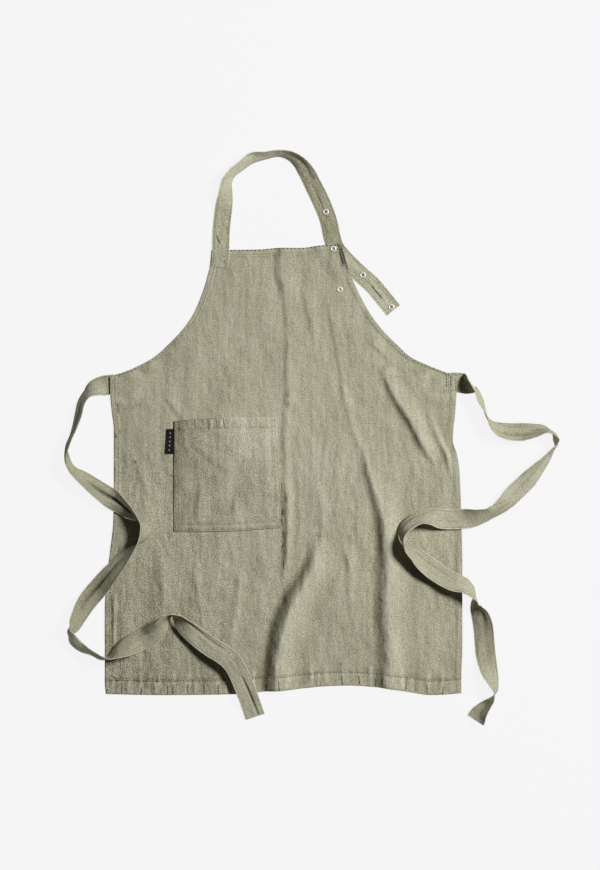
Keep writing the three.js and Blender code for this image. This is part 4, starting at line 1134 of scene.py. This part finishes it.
def make_band(name, node, slot, rows, width, seed, thread_name, cloth):
    at, centre, across, face = band_sections(rows, width)
    a = ACROSS[None, :]
    s = at[:, None]
    cup = BAND_CUP * noise(s, 0 * s, 95, 1, seed)
    bend = cup * (a * a - 0.33) + BAND_RIPPLE * noise(s, a * 20, 24, 15, seed + 1)
    fade = ease(at / 40.0)[:, None]
    bend = bend * fade
    shade = 0 * s * a
    for start, stop, first, last, depth, half_width in BAND_CREASES[name]:
        t = np.clip((s - start) / (stop - start), 0, 1)
        line = first + (last - first) * t
        dip = depth * np.sin(np.pi * t) ** 0.7 * np.exp(-((a - line) / half_width) ** 2)
        bend = bend - dip
        # Painted shade in the crease
        shade = shade - CREASE_SHADE * np.abs(dip)
    for start, stop, bow in BAND_BOWS.get(name, ()):
        t = np.clip((s - start) / (stop - start), 0, 1)
        bend = bend + bow * np.sin(np.pi * t) * (1 - a * a)
    stations, tones = np.array(BAND_PAINTED_LIGHT[name], float).T
    shade = shade + np.interp(s, stations, tones)
    sewn = 1 - ease(at / SEWN_END) if node == "neck_strap" else 0 * at
    centre = centre - UP * (SEWN_DROP * sewn)[:, None]
    inset = (1 - np.abs(a)) * width * 0.5
    half = 0.5 * BAND_THICK * rim_round(inset * 1.1) - 0.7 * groove(inset, BAND_SEAM)
    half = half * (1 - SEWN_THIN * sewn[:, None])
    middle = centre[:, None, :] + across[:, None, :] * (a[..., None] * width * 0.5)
    middle = middle + face[:, None, :] * bend[..., None]
    top = middle + face[:, None, :] * half[..., None]
    low = middle - face[:, None, :] * half[..., None]
    top[..., 2] = np.maximum(top[..., 2], 0.05)
    low[..., 2] = np.maximum(low[..., 2], 0.05)
    ring = np.concatenate([top, low[:, ::-1, :]], axis=1)
    count, wide = ring.shape[:2]
    j, i = np.mgrid[0:count - 1, 0:wide]
    n = (i + 1) % wide
    quads = np.stack([j * wide + i, j * wide + n, (j + 1) * wide + n, (j + 1) * wide + i], -1)
    faces = quads.reshape(-1, 4).tolist()
    half_wide = wide // 2
    for j, turn in ((0, True), (count - 1, False)):
        for i in range(half_wide - 1):
            quad = [j * wide + i, j * wide + i + 1, j * wide + wide - 2 - i, j * wide + wide - 1 - i]
            faces.append(quad[::-1] if turn else quad)
    along = np.repeat(at[:, None], wide, 1)
    sideways = np.repeat((np.concatenate([ACROSS, ACROSS[::-1]]) * width * 0.5)[None, :], count, 0)
    uv = np.stack([along + 137.0 * seed, sideways + 61.0 * seed], -1).reshape(-1, 2)
    # Painted highlight along both edges of each band, left off at the strap's sewn end, added to the painted
    # crease shade and the painted light and shade along the band
    rim = np.clip((np.abs(np.concatenate([ACROSS, ACROSS[::-1]])) - 0.90) / 0.08, 0, 1)
    painted_shading_and_tone = 1.5 * rim[None, :] * (1 - sewn)[:, None] + np.concatenate([shade, shade[:, ::-1]], axis=1)
    piece = mesh_object(name, ring.reshape(-1, 3), faces, cloth, uv, 50.0, painted_shading_and_tone.ravel())
    place_piece(piece, slot, node)
    seam = 1 - 2 * BAND_SEAM / width
    runs = []
    for side in (seam, -seam):
        k = int(np.argmin(np.abs(ACROSS - side)))
        keep = slice(1, -1, 2)
        for skin, out in ((top, 1), (low, -1)):
            place = skin[keep, k] + face[keep] * 0.05 * out
            place[:, 2] = np.maximum(place[:, 2], 0.6)
            runs.append((place, face[keep] * out))
    if node == "waist_tie_left":
        for station in TIE_BARS:
            j = int(np.argmin(np.abs(at - station)))
            runs.append((top[j, 4:-4:2], np.repeat(face[j:j + 1], len(ACROSS[4:-4:2]), 0)))
    threads = stitches(thread_name, slot, runs, thread_look)
    return piece, threads, float(at[-1])


# Snap rings
def turned(profile, sides, x, y, base):
    points = []
    faces = []
    first = []
    for r, z in profile:
        first.append((len(points), sides if r > 0 else 1))
        for k in range(first[-1][1]):
            angle = 2 * math.pi * k / sides
            points.append((x + r * math.cos(angle), y + r * math.sin(angle), base + z))
    for (a, na), (b, nb) in zip(first[:-1], first[1:]):
        for k in range(sides):
            n = k + 1
            corners = [a + k % na, a + n % na, b + n % nb, b + k % nb]
            faces.append(tuple(dict.fromkeys(corners)))
    return points, faces


def snap_rim():
    """Rounded rim of a pressed snap ring, from its outer foot over the top to its inner foot."""
    middle = 0.5 * (SNAP_OUTER + SNAP_INNER)
    reach = 0.5 * (SNAP_OUTER - SNAP_INNER)
    rim = [(SNAP_OUTER - SNAP_UNDERCUT, 0.0)]
    for k in range(SNAP_RIM_STEPS + 1):
        angle = math.pi * k / SNAP_RIM_STEPS
        height = SNAP_SHOULDER + (SNAP_HEIGHT - SNAP_SHOULDER) * math.sin(angle)
        rim.append((middle + reach * math.cos(angle), height))
    return rim


def make_snap(node, x, y, seat, is_open):
    ground = BAND_THICK if seat == "strap" else float(body_under(np.array(x), np.array(y))) + CLOTH
    base = ground + GAP + (HEM_EXTRA if seat == "hem" else 0)
    rim = snap_rim()
    if is_open:
        points, faces = turned(rim + [(SNAP_INNER + 0.2, 0.0), rim[0]], SNAP_SIDES, x, y, base)
    else:
        closed = [(0, 0.0)] + rim + [(SNAP_INNER, 0.55), (0, 0.5)]
        points, faces = turned(closed, SNAP_SIDES, x, y, base)
    ring = mesh_object(node + "_ring", points, faces, metal_look)
    place_piece(ring, "snap_metal", node)
    if is_open:
        return
    side = SNAP_INNER - 0.15
    well = [(0, 0.52), (side, 0.56), (side, 0.7), (1.1, 0.72), (0.9, 1.15), (0, 1.3)]
    points, faces = turned(well, SNAP_SIDES, x, y, base)
    stud = mesh_object(node + "_well", points, faces, dark_look)
    place_piece(stud, "snap_metal")


body = make_body()
body_threads = make_body_stitches()
tucks = make_tuck_shadows()
pocket = make_pocket()
pocket_threads, pocket_edges, pocket_gather_shadows = make_pocket_stitches()
tab = make_tab()
motif = make_tab_motif()
BANDS = [
    ("neck_strap_cloth", "neck_strap", "linen_strap", NECK, STRAP_WIDTH, 31, "strap_stitches", linen_strap),
    ("tie_left_cloth", "waist_tie_left", "linen_tie", LEFT_TIE, TIE_WIDTH, 41,
     "tie_left_stitches", linen_band),
    ("tie_right_cloth", "waist_tie_right", "linen_tie", RIGHT_TIE, TIE_WIDTH, 51,
     "tie_right_stitches", linen_band),
]
bands = [(*make_band(*band), band[4]) for band in BANDS]
for snap in SNAPS:
    make_snap(*snap)

# Floor
floor_look, *_, floor_shader = node_material("floor_look")
set_inputs(floor_shader, Base_Color=(*FLOOR_COLOUR, 1.0), Roughness=1.0, Specular_IOR_Level=0.0)
set_inputs(floor_shader, Emission_Color=(1.0, 1.0, 1.0, 1.0), Emission_Strength=FLOOR_GLOW)
corners = [(-FLOOR_HALF, -FLOOR_HALF, FLOOR_Z), (FLOOR_HALF, -FLOOR_HALF, FLOOR_Z)]
corners += [(FLOOR_HALF, FLOOR_HALF, FLOOR_Z), (-FLOOR_HALF, FLOOR_HALF, FLOOR_Z)]
floor = mesh_object("floor", corners, [(0, 1, 2, 3)], floor_look)

# Light: a soft key from the right and a little up, and an even fill
world = bpy.data.worlds.new("studio")
world.use_nodes = True
set_inputs(world.node_tree.nodes["Background"], Color=(1.0, 1.0, 1.0, 1.0), Strength=FILL_STRENGTH)
bpy.context.scene.world = world
key_data = bpy.data.lights.new("key", "AREA")
key_data.energy = KEY_POWER
key_data.shape = "DISK"
key_data.size = KEY_SIZE
key = bpy.data.objects.new("key", key_data)
key_tilt = math.radians(90.0 - KEY_ELEVATION)
key_turn = math.radians(KEY_AZIMUTH)
key.rotation_euler = (0.0, key_tilt, key_turn)
key.location = (
    KEY_DISTANCE * math.sin(key_tilt) * math.cos(key_turn),
    KEY_DISTANCE * math.sin(key_tilt) * math.sin(key_turn),
    KEY_DISTANCE * math.cos(key_tilt),
)
bpy.context.scene.collection.objects.link(key)

# Camera straight above, as the photograph
camera_data = bpy.data.cameras.new("camera")
camera_data.sensor_fit = "VERTICAL"
camera_data.sensor_height = SENSOR
camera_data.lens = SENSOR * CAMERA_HEIGHT / (PHOTO_HEIGHT * MM_PER_PIXEL * MM)
camera_data.clip_end = 500.0
camera = bpy.data.objects.new("camera", camera_data)
camera.location = (CENTRE_X * MM, CENTRE_Y * MM, CAMERA_HEIGHT)
bpy.context.scene.collection.objects.link(camera)
bpy.context.scene.camera = camera
bpy.context.scene.view_settings.view_transform = "Standard"
